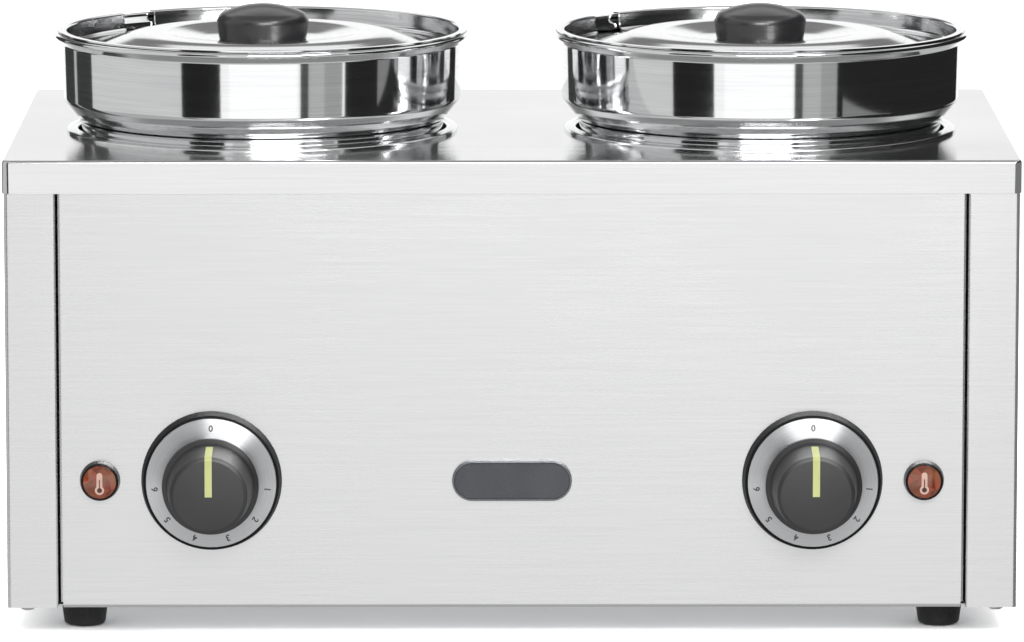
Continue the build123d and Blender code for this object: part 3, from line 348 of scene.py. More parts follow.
def turned_steel(name, centre, colours, roughness, width, arc, depth, axis="Z", brushing=0.5):
    """Metal finished on a lathe: rings so fine that they only blur and streak what it mirrors.

    Such rings are under a tenth of a millimetre apart. They are drawn coarser, so that they show.
    """
    made, tree, bsdf = new_material(name, {"Metallic": 1.0, "Anisotropic": brushing})
    rings = add_node(
        tree, "ShaderNodeTexNoise",
        {"Vector": ring_space(tree, centre, axis, width, arc), "Scale": 1.0, "Detail": 3.0,
         "Roughness": 0.6},
    ).outputs["Fac"]
    patterned(tree, bsdf, rings, rings, colours, roughness, depth)
    brushed_across(tree, bsdf, across_rings(tree, centre, axis))
    return made


def moulded_plastic(name, colours, roughness, grain, depth, coat=0.0, specular=0.5):
    """Moulded plastic: a fine spark-eroded texture breaks up its gloss."""
    made, tree, bsdf = new_material(name, {
        "IOR": 1.5, "Specular IOR Level": specular, "Coat Weight": coat, "Coat Roughness": 0.12,
    })
    fine, cloud = (
        add_node(
            tree, "ShaderNodeTexNoise",
            {"Vector": pattern_space(tree, (size,) * 3), "Scale": 1.0, "Detail": 2.0, "Roughness": 0.5},
        ).outputs["Fac"]
        for size in (grain, PLASTIC_CLOUD)
    )
    patterned(tree, bsdf, cloud, fine, colours, roughness, depth)
    return made


def plain_metal(name, colours, roughness, grain, depth, metallic=1.0):
    """Plated, drawn or cast metal of a small part, or the ink on it: dull and faintly mottled."""
    made, tree, bsdf = new_material(name, {"Metallic": metallic})
    fine = add_node(
        tree, "ShaderNodeTexNoise",
        {"Vector": pattern_space(tree, grain), "Scale": 1.0, "Detail": 4.0, "Roughness": 0.6},
    ).outputs["Fac"]
    patterned(tree, bsdf, fine, fine, colours, roughness, depth)
    return made


def linked(name, source):
    """Turns a bmesh into an object of the scene."""
    mesh = bpy.data.meshes.new(name)
    source.to_mesh(mesh)
    source.free()
    made = bpy.data.objects.new(name, mesh)
    bpy.context.scene.collection.objects.link(made)
    return made


def new_piece(name, source, body, materials, replaces, wall=0.0):
    """Makes a piece from a bmesh: given its wall, shaded smooth between creases, and riding on its body."""
    piece = linked(name, source)
    for made in materials if isinstance(materials, list) else [materials]:
        piece.data.materials.append(made)
    if wall:
        solid = piece.modifiers.new("Wall", "SOLIDIFY")
        solid.thickness = wall * MM
        solid.offset = -1
    settle(piece)
    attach(piece, body)
    if replaces:
        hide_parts(*replaces)
    return piece


def settle(piece):
    """Applies a piece's modifiers, and shades it smooth with its flats kept flat."""
    apply_modifiers(piece)
    piece.data.polygons.foreach_set("use_smooth", [True] * len(piece.data.polygons))
    piece.data.set_sharp_from_angle(angle=radians(CREASE))
    weighted = piece.modifiers.new("Flats", "WEIGHTED_NORMAL")
    weighted.mode = "FACE_AREA"
    weighted.weight = 100
    weighted.keep_sharp = True
    apply_modifiers(piece)


def apply_modifiers(piece):
    """Puts the mesh that a piece's modifiers give in place of its own."""
    if not piece.modifiers:
        return
    bpy.context.view_layer.update()
    graph = bpy.context.evaluated_depsgraph_get()
    applied = bpy.data.meshes.new_from_object(piece.evaluated_get(graph), depsgraph=graph)
    piece.modifiers.clear()
    piece.data = applied


def turned(outline, bends=(), closed=False, steps=PLAIN_STEPS, bend_steps=5, upward=None):
    """Turns an outline of (radius, height) points about Z, in millimetres.

    Each of the bends is the number of a point and the radius that its ring is rounded to. An open shell
    faces upward or downward at its middle, as asked.
    """
    made = bmesh.new()
    verts = [made.verts.new((radius * MM, 0, height * MM)) for radius, height in outline]
    pairs = list(zip(verts, verts[1:])) + ([(verts[-1], verts[0])] if closed else [])
    edges = [made.edges.new(pair) for pair in pairs]
    bmesh.ops.spin(
        made, geom=verts + edges, cent=(0, 0, 0), axis=(0, 0, 1), angle=2 * pi, steps=steps, use_merge=True
    )
    bmesh.ops.remove_doubles(made, verts=made.verts, dist=1e-7)
    for index, bend in bends:
        before, corner, after = (Vector(outline[i % len(outline)]) for i in (index - 1, index, index + 1))
        turn = (corner - before).angle(after - corner)
        radius, height = outline[index]
        ring = [
            edge for edge in made.edges
            if all(
                abs(hypot(v.co.x, v.co.y) - radius * MM) < 1e-6 and abs(v.co.z - height * MM) < 1e-6
                for v in edge.verts
            )
        ]
        bmesh.ops.bevel(
            made, geom=ring, offset=bend * MM * tan(turn / 2), offset_type="OFFSET", segments=bend_steps,
            profile=0.5, affect="EDGES", material=-1, clamp_overlap=True,
        )
    bmesh.ops.recalc_face_normals(made, faces=made.faces)
    if upward is not None:
        middle = min(made.faces, key=lambda face: hypot(*face.calc_center_median()[:2]))
        if (middle.normal.z > 0) != upward:
            bmesh.ops.reverse_faces(made, faces=made.faces)
    return made


def crowned(radius, top, crown, steps):
    """Outline of a shallow dome from its middle to its edge, where it is lower by its crown."""
    return [(radius * i / steps, top - crown * (i / steps)**2) for i in range(steps + 1)]


def rolled_bead(radius, height):
    """The round bead of a rolled rim, as a ring about Z."""
    bead = bmesh.new()
    circle = bmesh.ops.create_circle(bead, cap_ends=False, radius=RIM_BEAD_RADIUS * MM, segments=16)["verts"]
    upright = Matrix.Translation((radius * MM, 0, height * MM)) @ Matrix.Rotation(pi / 2, 4, "X")
    bmesh.ops.transform(bead, matrix=upright, verts=circle)
    bmesh.ops.spin(
        bead, geom=circle + bead.edges[:], cent=(0, 0, 0), axis=(0, 0, 1), angle=2 * pi, steps=FINE_STEPS,
        use_merge=True,
    )
    bmesh.ops.recalc_face_normals(bead, faces=bead.faces)
    return bead


def pulled_up(made, height):
    """Extrudes a flat bmesh to a height in metres."""
    pulled = bmesh.ops.extrude_face_region(made, geom=made.faces[:])["geom"]
    upper = [part for part in pulled if isinstance(part, bmesh.types.BMVert)]
    bmesh.ops.translate(made, vec=(0, 0, height), verts=upper)
    bmesh.ops.recalc_face_normals(made, faces=made.faces)


def rounded(made, edges, offset):
    """Rounds edges of a bmesh by an offset in millimetres."""
    bmesh.ops.bevel(
        made, geom=edges, offset=offset * MM, offset_type="OFFSET", segments=4, profile=0.5,
        affect="EDGES", material=-1,
    )


def placed(made, place):
    """Moves all of a bmesh by a matrix."""
    bmesh.ops.transform(made, matrix=place, verts=made.verts)
    return made


def in_plan(centre):
    """Moves a piece made about Z to its place in plan."""
    return Matrix.Translation((centre.x, centre.y, 0))


def facing_front(x, z, stand=0.0):
    """Turns a piece made about Z to face the front, on the front panel at x and z."""
    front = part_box("front_panel")[0].y
    return Matrix.Translation((x, front - stand * MM, z)) @ Matrix.Rotation(pi / 2, 4, "X")


def joined(first, other):
    """Adds one bmesh to another."""
    mesh = bpy.data.meshes.new("joined")
    other.to_mesh(mesh)
    other.free()
    first.from_mesh(mesh)
    bpy.data.meshes.remove(mesh)
    return first


def faired(node):
    """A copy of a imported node's mesh, with its loose triangles merged."""
    made = bmesh.new()
    made.from_mesh(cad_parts[node].data)
    bmesh.ops.remove_doubles(made, verts=made.verts, dist=2e-6)
    return made


def middle_of(node):
    """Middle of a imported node's box."""
    low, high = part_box(node)
    return (low + high) / 2


def each_side(stem):
    """The left and the right node of a name."""
    return [f"{stem}_{side}" for side in SIDES]


def dress(nodes, made):
    """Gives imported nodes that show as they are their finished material."""
    for node in nodes:
        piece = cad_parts[node]
        piece.data.materials.clear()
        piece.data.materials.append(made)


class CaseSettings(bpy.types.PropertyGroup):
    """Sheet metal of the case."""
    steel_dark: bpy.props.StringProperty(
        name="Grain shadow", description="Stainless colour in the grain's valleys, sRGB hex", default="D2D2D3"
    )
    steel_light: bpy.props.StringProperty(
        name="Grain light", description="Stainless colour on the grain's crests, sRGB hex", default="D9D9D9"
    )
    deck_dark: bpy.props.StringProperty(
        name="Deck grain shadow", description="Deck colour in the grain's valleys, sRGB hex", default="D5D5D6"
    )
    deck_light: bpy.props.StringProperty(
        name="Deck grain light", description="Deck colour on the grain's crests, sRGB hex", default="DCDCDC"
    )
    roughness: bpy.props.FloatProperty(
        name="Roughness", description="How far the brushing spreads reflections", default=0.27, min=0.05,
        max=0.8, subtype="FACTOR",
    )
    brushing: bpy.props.FloatProperty(
        name="Brushing", description="How much further reflections spread across the grain than along it",
        default=0.5, min=0.0, max=1.0, subtype="FACTOR",
    )
    deck_roughness: bpy.props.FloatProperty(
        name="Deck roughness", description="How far the deck's brushing spreads reflections", default=0.15,
        min=0.05, max=0.8, subtype="FACTOR",
    )
    deck_brushing: bpy.props.FloatProperty(
        name="Deck brushing", description="How much further the deck spreads reflections across its grain",
        default=0.5, min=0.0, max=1.0, subtype="FACTOR",
    )
    grain_depth: bpy.props.FloatProperty(
        name="Grain depth", description="Depth of the brushed grain in millimetres", default=0.0007, min=0.0,
        max=0.1,
    )


class PotSettings(bpy.types.PropertyGroup):
    """Pots, lids and wells."""
    polish: bpy.props.FloatProperty(
        name="Pot roughness", description="Blur of the mirror-polished pots", default=0.075, min=0.0, max=0.4,
        subtype="FACTOR",
    )
    lid_brush: bpy.props.FloatProperty(
        name="Lid roughness", description="Blur of the ring-brushed lids", default=0.12, min=0.0, max=0.5,
        subtype="FACTOR",
    )


class ControlSettings(bpy.types.PropertyGroup):
    """Dials, knobs and lamps."""
    black: bpy.props.StringProperty(
        name="Black plastic", description="Colour of knobs and bezels, sRGB hex", default="17171A"
    )
    pointer: bpy.props.StringProperty(
        name="Pointer", description="Colour of the pointer inlay, sRGB hex", default="C9CF86"
    )
    numeral: bpy.props.StringProperty(
        name="Numerals", description="Colour of the dial's printed numerals, sRGB hex", default="4A4B50"
    )
    badge: bpy.props.StringProperty(
        name="Badge", description="Colour of the bare badge, sRGB hex", default="3A3C42"
    )


class StageSettings(bpy.types.PropertyGroup):
    """Camera, floor and light."""
    camera_distance: bpy.props.FloatProperty(
        name="Camera distance", description="From the front panel to the camera", default=3.7,
        unit="LENGTH",
    )
    camera_aside: bpy.props.FloatProperty(
        name="Camera aside", description="How far the camera stands to the right", default=-0.014,
        unit="LENGTH",
    )
    camera_pitch: bpy.props.FloatProperty(
        name="Camera pitch", description="How far the camera looks down", default=radians(8.7),
        subtype="ANGLE",
    )
    aim_height: bpy.props.FloatProperty(
        name="Aim height", description="Height at the front panel that the camera looks at", default=0.1577,
        unit="LENGTH",
    )
    lens: bpy.props.FloatProperty(
        name="Lens", description="Focal length in millimetres on a 36 mm sensor", default=262.2,
        subtype="DISTANCE_CAMERA",
    )
    sky: bpy.props.FloatProperty(
        name="Room light", description="Strength of the even room light", default=0.8, min=0.0, max=2.0
    )


class CHAFING_OT_case(bpy.types.Operator):
    """Dress the folded sheets of the case"""
    bl_idname = "chafing.case"
    bl_label = "Case"

    def execute(self, context):
        settings = context.scene.chafing_case
        # The walls are satin: they mirror the room only as soft, pale fields
        wall_steel = sheet_steel(
            "stainless sheet, brushed along", (settings.steel_dark, settings.steel_light), (60, 60, 0.7),
            (0.05, 0.05, 1), settings.roughness, settings.brushing, settings.grain_depth,
        )
        # The deck is the smoother sheet, so that it still mirrors the pots, drawn out towards the front
        deck_steel = sheet_steel(
            "stainless deck, brushed along", (settings.deck_dark, settings.deck_light), (60, 0.7, 0.7),
            (0.02, 1, 1), settings.deck_roughness, settings.deck_brushing, settings.grain_depth,
        )
        for node, made in (
            ("deck_cover", deck_steel),
            ("front_panel", wall_steel),
            ("side_panel_left", wall_steel),
            ("side_panel_right", wall_steel),
            ("rear_panel", wall_steel),
        ):
            new_piece(f"{node}_sheet", faired(node), "housing", made, [node])
        # Galvanised sheet: dull, with the faint patches of its zinc crystals
        zinc = plain_metal("galvanised sheet", ("A9ABAD", "C6C8CA"), (0.34, 0.5), (9, 9, 9), 0.01)
        new_piece("base_plate_sheet", faired("base_plate"), "housing", zinc, ["base_plate"])
        return {"FINISHED"}


def well_piece(side, made):
    """A well: sloping ring lip on the deck, straight wall, round corner, and ribs under the pot."""
    low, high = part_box(f"well_{side}")
    centre = (low + high) / 2
    deck_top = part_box("deck_cover")[1].z / MM
    floor = low.z / MM + SHEET
    lip_radius = WELL_RADIUS + LIP_WIDTH
    outline = [
        (lip_radius, deck_top),
        (lip_radius, deck_top + LIP_EDGE_HEIGHT),
        (WELL_RADIUS, deck_top + LIP_HEIGHT),
        (WELL_RADIUS, floor),
        (0, floor),
    ]
    bowl = turned(outline, [(1, 1.2), (2, 2.2), (3, 16.0)], steps=FINE_STEPS, upward=True)
    placed(bowl, in_plan(centre))
    new_piece(f"well_bowl_{side}", bowl, "housing", made, [f"well_{side}"], wall=SHEET)
    ribs = bmesh.new()
    for quarter in range(4):
        rib = bmesh.new()
        bmesh.ops.create_cube(rib, size=MM)
        bmesh.ops.scale(rib, vec=(RIB_LENGTH, RIB_WIDTH, RIB_HEIGHT), verts=rib.verts)
        top = [edge for edge in rib.edges if all(v.co.z > 0 for v in edge.verts)]
        rounded(rib, top, RIB_ROUND)
        spot = Vector((RIB_INNER_RADIUS + RIB_LENGTH / 2, 0, floor + RIB_HEIGHT / 2)) * MM
        turn = Matrix.Rotation(radians(45 + 90 * quarter), 4, "Z")
        joined(ribs, placed(rib, in_plan(centre) @ turn @ Matrix.Translation(spot)))
    new_piece(f"well_ribs_{side}", ribs, "housing", made, ())


class CHAFING_OT_wells(bpy.types.Operator):
    """Press the two water wells"""
    bl_idname = "chafing.wells"
    bl_label = "Wells"

    def execute(self, context):
        for side in SIDES:
            centre = middle_of(f"well_{side}")
            # Deep-drawn stainless, turned satin: clear but softened reflections on the ring lip
            made = turned_steel(
                f"well stainless, satin turned {side}", (centre.x, centre.y, 0), ("D6D7D8", "E9EAEA"),
                (0.10, 0.2), 0.6, 4.0, 0.003,
            )
            well_piece(side, made)
        return {"FINISHED"}


def pot_outline(bottom, top):
    """Outside of a pot from its bead down, in millimetres, with the rings that are rounded."""
    shoulder_bottom = bottom + NECK_HEIGHT
    shoulder_top = shoulder_bottom + SHOULDER_HEIGHT
    drum_top = top - RIM_FLARE_HEIGHT - RIM_BEAD_RADIUS
    outline = [
        (DRUM_RADIUS + RIM_BEAD_OFFSET, top - RIM_BEAD_RADIUS),
        (DRUM_RADIUS, drum_top),
        (DRUM_FOOT_RADIUS, shoulder_top),
        (NECK_RADIUS, shoulder_bottom),
        (POT_FOOT_RADIUS, bottom),
        (0, bottom),
    ]
    return outline, [(1, 1.6), (2, 4.0), (3, 3.0), (4, 14.0)]


class CHAFING_OT_pots(bpy.types.Operator):
    """Spin the two mirror-polished pots"""
    bl_idname = "chafing.pots"
    bl_label = "Pots"

    def execute(self, context):
        polish = context.scene.chafing_pot.polish
        for side in SIDES:
            body = f"pot_{side}"
            low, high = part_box(body)
            centre = (low + high) / 2
            # Stainless buffed to a mirror: it shows the room in dark and light bands, faintly streaked
            made = turned_steel(
                f"pot stainless, mirror buffed {side}", (centre.x, centre.y, 0), ("DFE0E1", "EDEEEE"),
                (polish - 0.01, polish + 0.01), 1.2, 60.0, 0.0001, brushing=0.3,
            )
            outline, bends = pot_outline(low.z / MM, high.z / MM)
            shell = turned(outline, bends, steps=FINE_STEPS, bend_steps=8, upward=False)
            placed(shell, in_plan(centre))
            new_piece(f"pot_drum_{side}", shell, body, made, [body], wall=SHEET)
            bead = rolled_bead(DRUM_RADIUS + RIM_BEAD_OFFSET, high.z / MM - RIM_BEAD_RADIUS)
            placed(bead, in_plan(centre))
            new_piece(f"pot_rim_bead_{side}", bead, body, made, ())
        return {"FINISHED"}


def lid_outline(top):
    """Top of a lid from its flange to its middle, in millimetres, with the rings that are rounded."""
    floor = top - LID_FLOOR_DROP
    crest = floor + LID_DOME_RISE
    hub = crest - LID_HUB_DROP
    outline = [
        (LID_FLANGE_RADIUS, top),
        (LID_WALL_RADIUS, top),
        (LID_WALL_RADIUS - LID_WALL_TAPER, floor),
        (LID_WALL_RADIUS - LID_FLOOR_WIDTH, floor),
        (LID_DOME_OUTER_RADIUS, crest),
        (LID_DOME_INNER_RADIUS, crest),
        (LID_HUB_RADIUS, hub),
        (0, hub),
    ]
    return outline, [(1, 1.2), (2, 2.0), (3, 28.0), (4, 28.0), (5, 20.0), (6, 60.0)]


def notched(piece, centre, angle, low, high):
    """Cuts the ladle notch: a slot with a round end, open to the lid's edge."""
    slot = bmesh.new()
    ring = bmesh.ops.create_circle(
        slot, cap_ends=True, radius=NOTCH_WIDTH / 2 * MM, segments=NOTCH_STEPS
    )["verts"]
    for vert in ring:
        if vert.co.x > 1e-7:
            vert.co.x += NOTCH_LENGTH * MM
    pulled_up(slot, high - low)
    reach = (LID_FLANGE_RADIUS - NOTCH_LENGTH + NOTCH_WIDTH / 2) * MM
    spot = Matrix.Translation((centre.x, centre.y, low))
    placed(slot, spot @ Matrix.Rotation(radians(angle), 4, "Z") @ Matrix.Translation((reach, 0, 0)))
    cutter = linked("notch", slot)
    cut = piece.modifiers.new("Notch", "BOOLEAN")
    cut.operation = "DIFFERENCE"
    cut.solver = "EXACT"
    cut.object = cutter
    settle(piece)
    bpy.data.objects.remove(cutter)


class CHAFING_OT_lids(bpy.types.Operator):
    """Press the two lids and cut their ladle notches"""
    bl_idname = "chafing.lids"
    bl_label = "Lids"

    def execute(self, context):
        blur = context.scene.chafing_pot.lid_brush
        for side in SIDES:
            low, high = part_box(f"lid_{side}")
            centre = (low + high) / 2
            # Stainless pressed and ring-brushed: white under a soft sky, with drawn-out dark reflections
            made = turned_steel(
                f"lid stainless, ring brushed {side}", (centre.x, centre.y, 0), ("D2D3D4", "ECECED"),
                (blur - 0.02, blur + 0.03), 0.7, 40.0, 0.0006,
            )
            outline, bends = lid_outline(high.z / MM)
            pressing = turned(outline, bends, steps=FINE_STEPS, bend_steps=6, upward=True)
            placed(pressing, in_plan(centre))
            piece = new_piece(
                f"lid_pressing_{side}", pressing, f"lid_{side}", made, [f"lid_{side}"],
                wall=SHEET,
            )
            notched(piece, centre, NOTCH_ANGLES[side], low.z - MM, high.z + MM)
        return {"FINISHED"}


class CHAFING_OT_lid_knobs(bpy.types.Operator):
    """Mould the black lid knobs"""
    bl_idname = "chafing.lid_knobs"
    bl_label = "Lid knobs"

    def execute(self, context):
        # Phenolic compression moulding: near black, its gloss slightly orange-peeled
        made = moulded_plastic(
            "black phenolic, moulded", ("232325", "2C2C2E"), (0.3, 0.4), 0.9, 0.008, coat=0.3, specular=0.8
        )
        for side in SIDES:
            node = f"lid_knob_{side}"
            low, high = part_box(node)
            centre = (low + high) / 2
            base = low.z / MM
            waist = base + GRIP_WAIST_HEIGHT
            reach = GRIP_RADIUS - GRIP_SHOULDER_RADIUS
            rise = GRIP_HEIGHT - GRIP_WAIST_HEIGHT - GRIP_SHOULDER_RADIUS
            crown = (reach**2 + rise**2) / (2 * rise) + GRIP_SHOULDER_RADIUS
            crown_centre = base + GRIP_HEIGHT - crown
            turn = atan2(waist - crown_centre, reach)
            # A wide arc over the top runs into a narrow one round the shoulder
            angles = [turn + (pi / 2 - turn) * step / ARC_STEPS for step in range(ARC_STEPS, -1, -1)]
            dome = [(max(crown * cos(angle), 0), crown_centre + crown * sin(angle)) for angle in angles]
            angles = [turn * step / ARC_STEPS for step in range(ARC_STEPS - 1, -1, -1)]
            shoulder = [
                (reach + GRIP_SHOULDER_RADIUS * cos(angle), waist + GRIP_SHOULDER_RADIUS * sin(angle))
                for angle in angles
            ]
            outline = [(0, base + GRIP_HEIGHT)] + dome[1:] + shoulder + [(GRIP_BASE_RADIUS, base), (0, base)]
            grip = turned(outline, [(len(outline) - 2, 0.8)])
            placed(grip, in_plan(centre))
            new_piece(f"lid_grip_{side}", grip, f"lid_{side}", made, [node])
        return {"FINISHED"}


def dial_centre(side):
    """Place of a dial on the front, across and up."""
    centre = middle_of(f"dial_plate_{side}")
    return centre.x, centre.z


class CHAFING_OT_dials(bpy.types.Operator):
    """Make the bezels, the brushed dial plates and their numerals"""
    bl_idname = "chafing.dials"
    bl_label = "Dials"

    def execute(self, context):
        settings = context.scene.chafing_control
        # Moulded ring with a satin gloss: its rounded side catches the light at the top
        bezel_plastic = moulded_plastic(
            "black bezel plastic, satin", ("0A0A0B", "121214"), (0.42, 0.52), 0.8, 0.006, specular=0.2
        )
        # Screen-printed ink: flat and matt on the bright plate
        ink = plain_metal(
            "dark grey dial ink", (settings.numeral, "56575C"), (0.5, 0.65), (0.8, 0.8, 0.8), 0.002,
            metallic=0.0,
        )
        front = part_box("front_panel")[0].y
        seat = BEZEL_HEIGHT - DIAL_THICKNESS
        for side in SIDES:
            x, z = dial_centre(side)
            ring = turned(
                [
                    (DIAL_BORE_RADIUS, BEZEL_FLOOR),
                    (DIAL_RADIUS - BEZEL_SEAT_WIDTH, BEZEL_FLOOR),
                    (DIAL_RADIUS - BEZEL_SEAT_WIDTH, seat),
                    (DIAL_RADIUS + DIAL_CLEARANCE, seat),
                    (DIAL_RADIUS + DIAL_CLEARANCE, BEZEL_HEIGHT),
                    (BEZEL_FRONT_RADIUS, BEZEL_HEIGHT),
                    (BEZEL_RADIUS, 0),
                    (DIAL_BORE_RADIUS, 0),
                ],
                [(5, 1.1), (4, 0.25)], closed=True, steps=FINE_STEPS,
            )
            placed(ring, facing_front(x, z))
            new_piece(
                f"dial_ring_{side}", ring, "housing", bezel_plastic, [f"dial_bezel_{side}"]
            )
            plate = turned(
                [
                    (DIAL_BORE_RADIUS, seat), (DIAL_BORE_RADIUS, BEZEL_HEIGHT),
                    (DIAL_RADIUS, BEZEL_HEIGHT), (DIAL_RADIUS, seat),
                ],
                [(2, 0.3)], closed=True, steps=FINE_STEPS, bend_steps=3,
            )
            placed(plate, facing_front(x, z))
            # Aluminium brushed on a turntable: rings that draw highlights out into fans
            brushed = turned_steel(
                f"dial aluminium, spin brushed {side}", (x, front, z), ("DCDDDF", "F0F1F2"), (0.34, 0.42),
                0.5, 60.0, 0.001, axis="Y", brushing=1.0,
            )
            new_piece(f"dial_disc_{side}", plate, "housing", brushed, [f"dial_plate_{side}"])
            numerals(side, x, z, ink)
        return {"FINISHED"}


def numerals(side, x, z, ink):
    """Plain printed numbers round the dial, their tops outwards."""
    sheet = bmesh.new()
    for number, angle in enumerate(NUMERAL_ANGLES):
        curve = bpy.data.curves.new("numeral", "FONT")
        curve.body = str(number)
        curve.size = NUMERAL_HEIGHT / DIGIT_SHARE * MM
        curve.align_x = "CENTER"
        curve.align_y = "CENTER"
        curve.extrude = INK_THICKNESS * MM
        curve.offset = NUMERAL_STROKE * MM
        curve.resolution_u = 4
        text = bpy.data.objects.new("numeral", curve)
        bpy.context.scene.collection.objects.link(text)
        bpy.context.view_layer.update()
        graph = bpy.context.evaluated_depsgraph_get()
        mesh = bpy.data.meshes.new_from_object(text.evaluated_get(graph), depsgraph=graph)
        bpy.data.objects.remove(text)
        digit = bmesh.new()
        digit.from_mesh(mesh)
        bpy.data.meshes.remove(mesh)
        turn = Matrix.Rotation(-radians(angle), 4, "Z")
        placed(digit, turn @ Matrix.Translation((0, NUMERAL_RADIUS * MM, 0)))
        joined(sheet, digit)
    placed(sheet, facing_front(x, z - NUMERAL_DROP * MM, BEZEL_HEIGHT + INK_THICKNESS))
    new_piece(f"dial_numerals_{side}", sheet, "housing", ink, ())


class CHAFING_OT_control_knobs(bpy.types.Operator):
    """Mould the control knobs and their pointer inlays"""
    bl_idname = "chafing.control_knobs"
    bl_label = "Control knobs"

    def execute(self, context):
        settings = context.scene.chafing_control
        # Glass-filled nylon: charcoal black with an even eggshell sheen
        nylon = moulded_plastic(
            "black knob nylon, eggshell", ("161618", "1E1E20"), (0.40, 0.46), 0.7, 0.006, specular=0.9
        )
        # Filled paint in a moulded groove: pale yellow-green, slightly soft
        inlay = moulded_plastic(
            "pale pointer inlay", (settings.pointer, "D2D792"), (0.4, 0.55), 1.0, 0.004
        )
        back = BEZEL_HEIGHT + KNOB_CLEARANCE
        neck = back + KNOB_NECK_HEIGHT
        skirt = back + KNOB_SKIRT_HEIGHT
        reach = back + KNOB_HEIGHT
        # The face is moulded slightly domed, so that it shades from top to bottom
        face = crowned(KNOB_FACE_RADIUS - KNOB_FACE_CHAMFER, reach, KNOB_FACE_CROWN, ARC_STEPS)
        for side in SIDES:
            x, z = dial_centre(side)
            outline = face + [
                (KNOB_FACE_RADIUS, reach - KNOB_FACE_CHAMFER),
                (KNOB_BODY_RADIUS, skirt + KNOB_EDGE),
                (KNOB_SKIRT_RADIUS, skirt - KNOB_EDGE),
                (KNOB_SKIRT_RADIUS, neck + KNOB_EDGE),
                (KNOB_SKIRT_RADIUS - KNOB_EDGE, neck),
                (KNOB_BASE_RADIUS, back),
                (0, back),
            ]
            bends = [(ARC_STEPS + i, bend) for i, bend in enumerate((0.4, 0.5, 2.0, 0.7, 0.5, 0.5, 0.3))]
            grip = turned(outline, bends, steps=FINE_STEPS, bend_steps=4)
            placed(grip, facing_front(x, z))
            body = f"knob_{side}"
            new_piece(f"knob_grip_{side}", grip, body, nylon, [f"control_knob_{side}"])
            new_piece(
                f"pointer_inlay_{side}", faired(f"knob_pointer_{side}"), body, inlay,
                [f"knob_pointer_{side}"],
            )
        return {"FINISHED"}


def lens_material(side, x, z):
    """Amber-red lens: clear gloss over moulded prisms, their light and shade painted as dark and light
    fields.
    """
    centre = (x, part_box("front_panel")[0].y, z)
    made, tree, bsdf = new_material(f"amber red lamp lens {side}", {
        "IOR": 1.49, "Roughness": 0.08, "Coat Weight": 0.6, "Coat Roughness": 0.04,
    })
    prism = add_node(
        tree, "ShaderNodeTexVoronoi",
        {"Vector": pattern_space(tree, (LENS_PRISM,) * 3, centre), "Scale": 1.0},
    )
    # Painted light and shade: each prism cell gets a darker or a lighter red, for the light that its facets
    # refract
    split = add_node(tree, "ShaderNodeSeparateColor", {0: prism.outputs["Color"]})
    red = add_node(
        tree, "ShaderNodeMix",
        {"Factor": split.outputs[0], "A": linear("5E1B10"), "B": linear("A8452C")}, data_type="RGBA",
    )
    cloud = add_node(
        tree, "ShaderNodeTexNoise",
        {"Vector": pattern_space(tree, (6, 6, 6), centre), "Scale": 1.0, "Detail": 2.0, "Roughness": 0.5},
    )
    share = add_node(
        tree, "ShaderNodeMapRange",
        {"Value": cloud.outputs["Fac"], "From Min": NOISE_LOW, "From Max": NOISE_HIGH, "To Max": 0.8},
    )
    mixed = add_node(
        tree, "ShaderNodeMix",
        {"Factor": share.outputs["Result"], "A": red.outputs["Result"], "B": linear("7C5434")},
        data_type="RGBA",
    )
    relief = add_node(
        tree, "ShaderNodeBump",
        {"Height": prism.outputs["Distance"], "Distance": 0.05 * MM, "Strength": 0.5},
    )
    tree.links.new(mixed.outputs["Result"], bsdf.inputs["Base Color"])
    tree.links.new(relief.outputs["Normal"], bsdf.inputs["Normal"])
    return made


def pictogram(side, x, z, light, dark):
    """A plain thermometer sign on the lens: pale stem and bulb, with a dark bulb and thread in them."""
    def disc(radius, height, lift):
        """A round field of the sign."""
        made = bmesh.new()
        bmesh.ops.create_circle(made, cap_ends=True, cap_tris=True, radius=radius * MM, segments=24)
        bmesh.ops.subdivide_edges(made, edges=made.edges[:], cuts=2, use_grid_fill=True)
        return raised(made, height, lift)

    def stem(width, start, end, lift):
        """An upright bar of the sign."""
        made = bmesh.new()
        bmesh.ops.create_grid(made, x_segments=6, y_segments=16, size=0.5)
        bmesh.ops.scale(made, vec=(width * MM, (end - start) * MM, 1), verts=made.verts)
        return raised(made, (start + end) / 2, lift)

    def raised(made, height, lift):
        """Moves a flat field to its height, and lays it on the lens's crown with a little lift."""
        bmesh.ops.translate(made, vec=(0, height * MM, 0), verts=made.verts)
        for vert in made.verts:
            share = hypot(vert.co.x, vert.co.y) / (LENS_RADIUS * MM)
            vert.co.z = (LENS_BASE + LENS_HEIGHT - LENS_CROWN * share**2 + lift) * MM
        return made

    pale = joined(
        disc(SIGN_BULB_RADIUS, SIGN_BULB_HEIGHT, SIGN_LIFT),
        stem(SIGN_STEM_WIDTH, SIGN_BULB_HEIGHT, SIGN_STEM_TOP, SIGN_STEM_LIFT),
    )
    joined(pale, disc(SIGN_STEM_WIDTH / 2, SIGN_STEM_TOP, SIGN_LIFT))
    deep = joined(
        disc(THREAD_BULB_RADIUS, SIGN_BULB_HEIGHT, THREAD_LIFT),
        stem(THREAD_WIDTH, SIGN_BULB_HEIGHT, THREAD_TOP, THREAD_LIFT),
    )
    for name, made, finish in (("sign", pale, light), ("thread", deep, dark)):
        placed(made, facing_front(x, z))
        new_piece(f"lamp_{name}_{side}", made, "housing", finish, ())


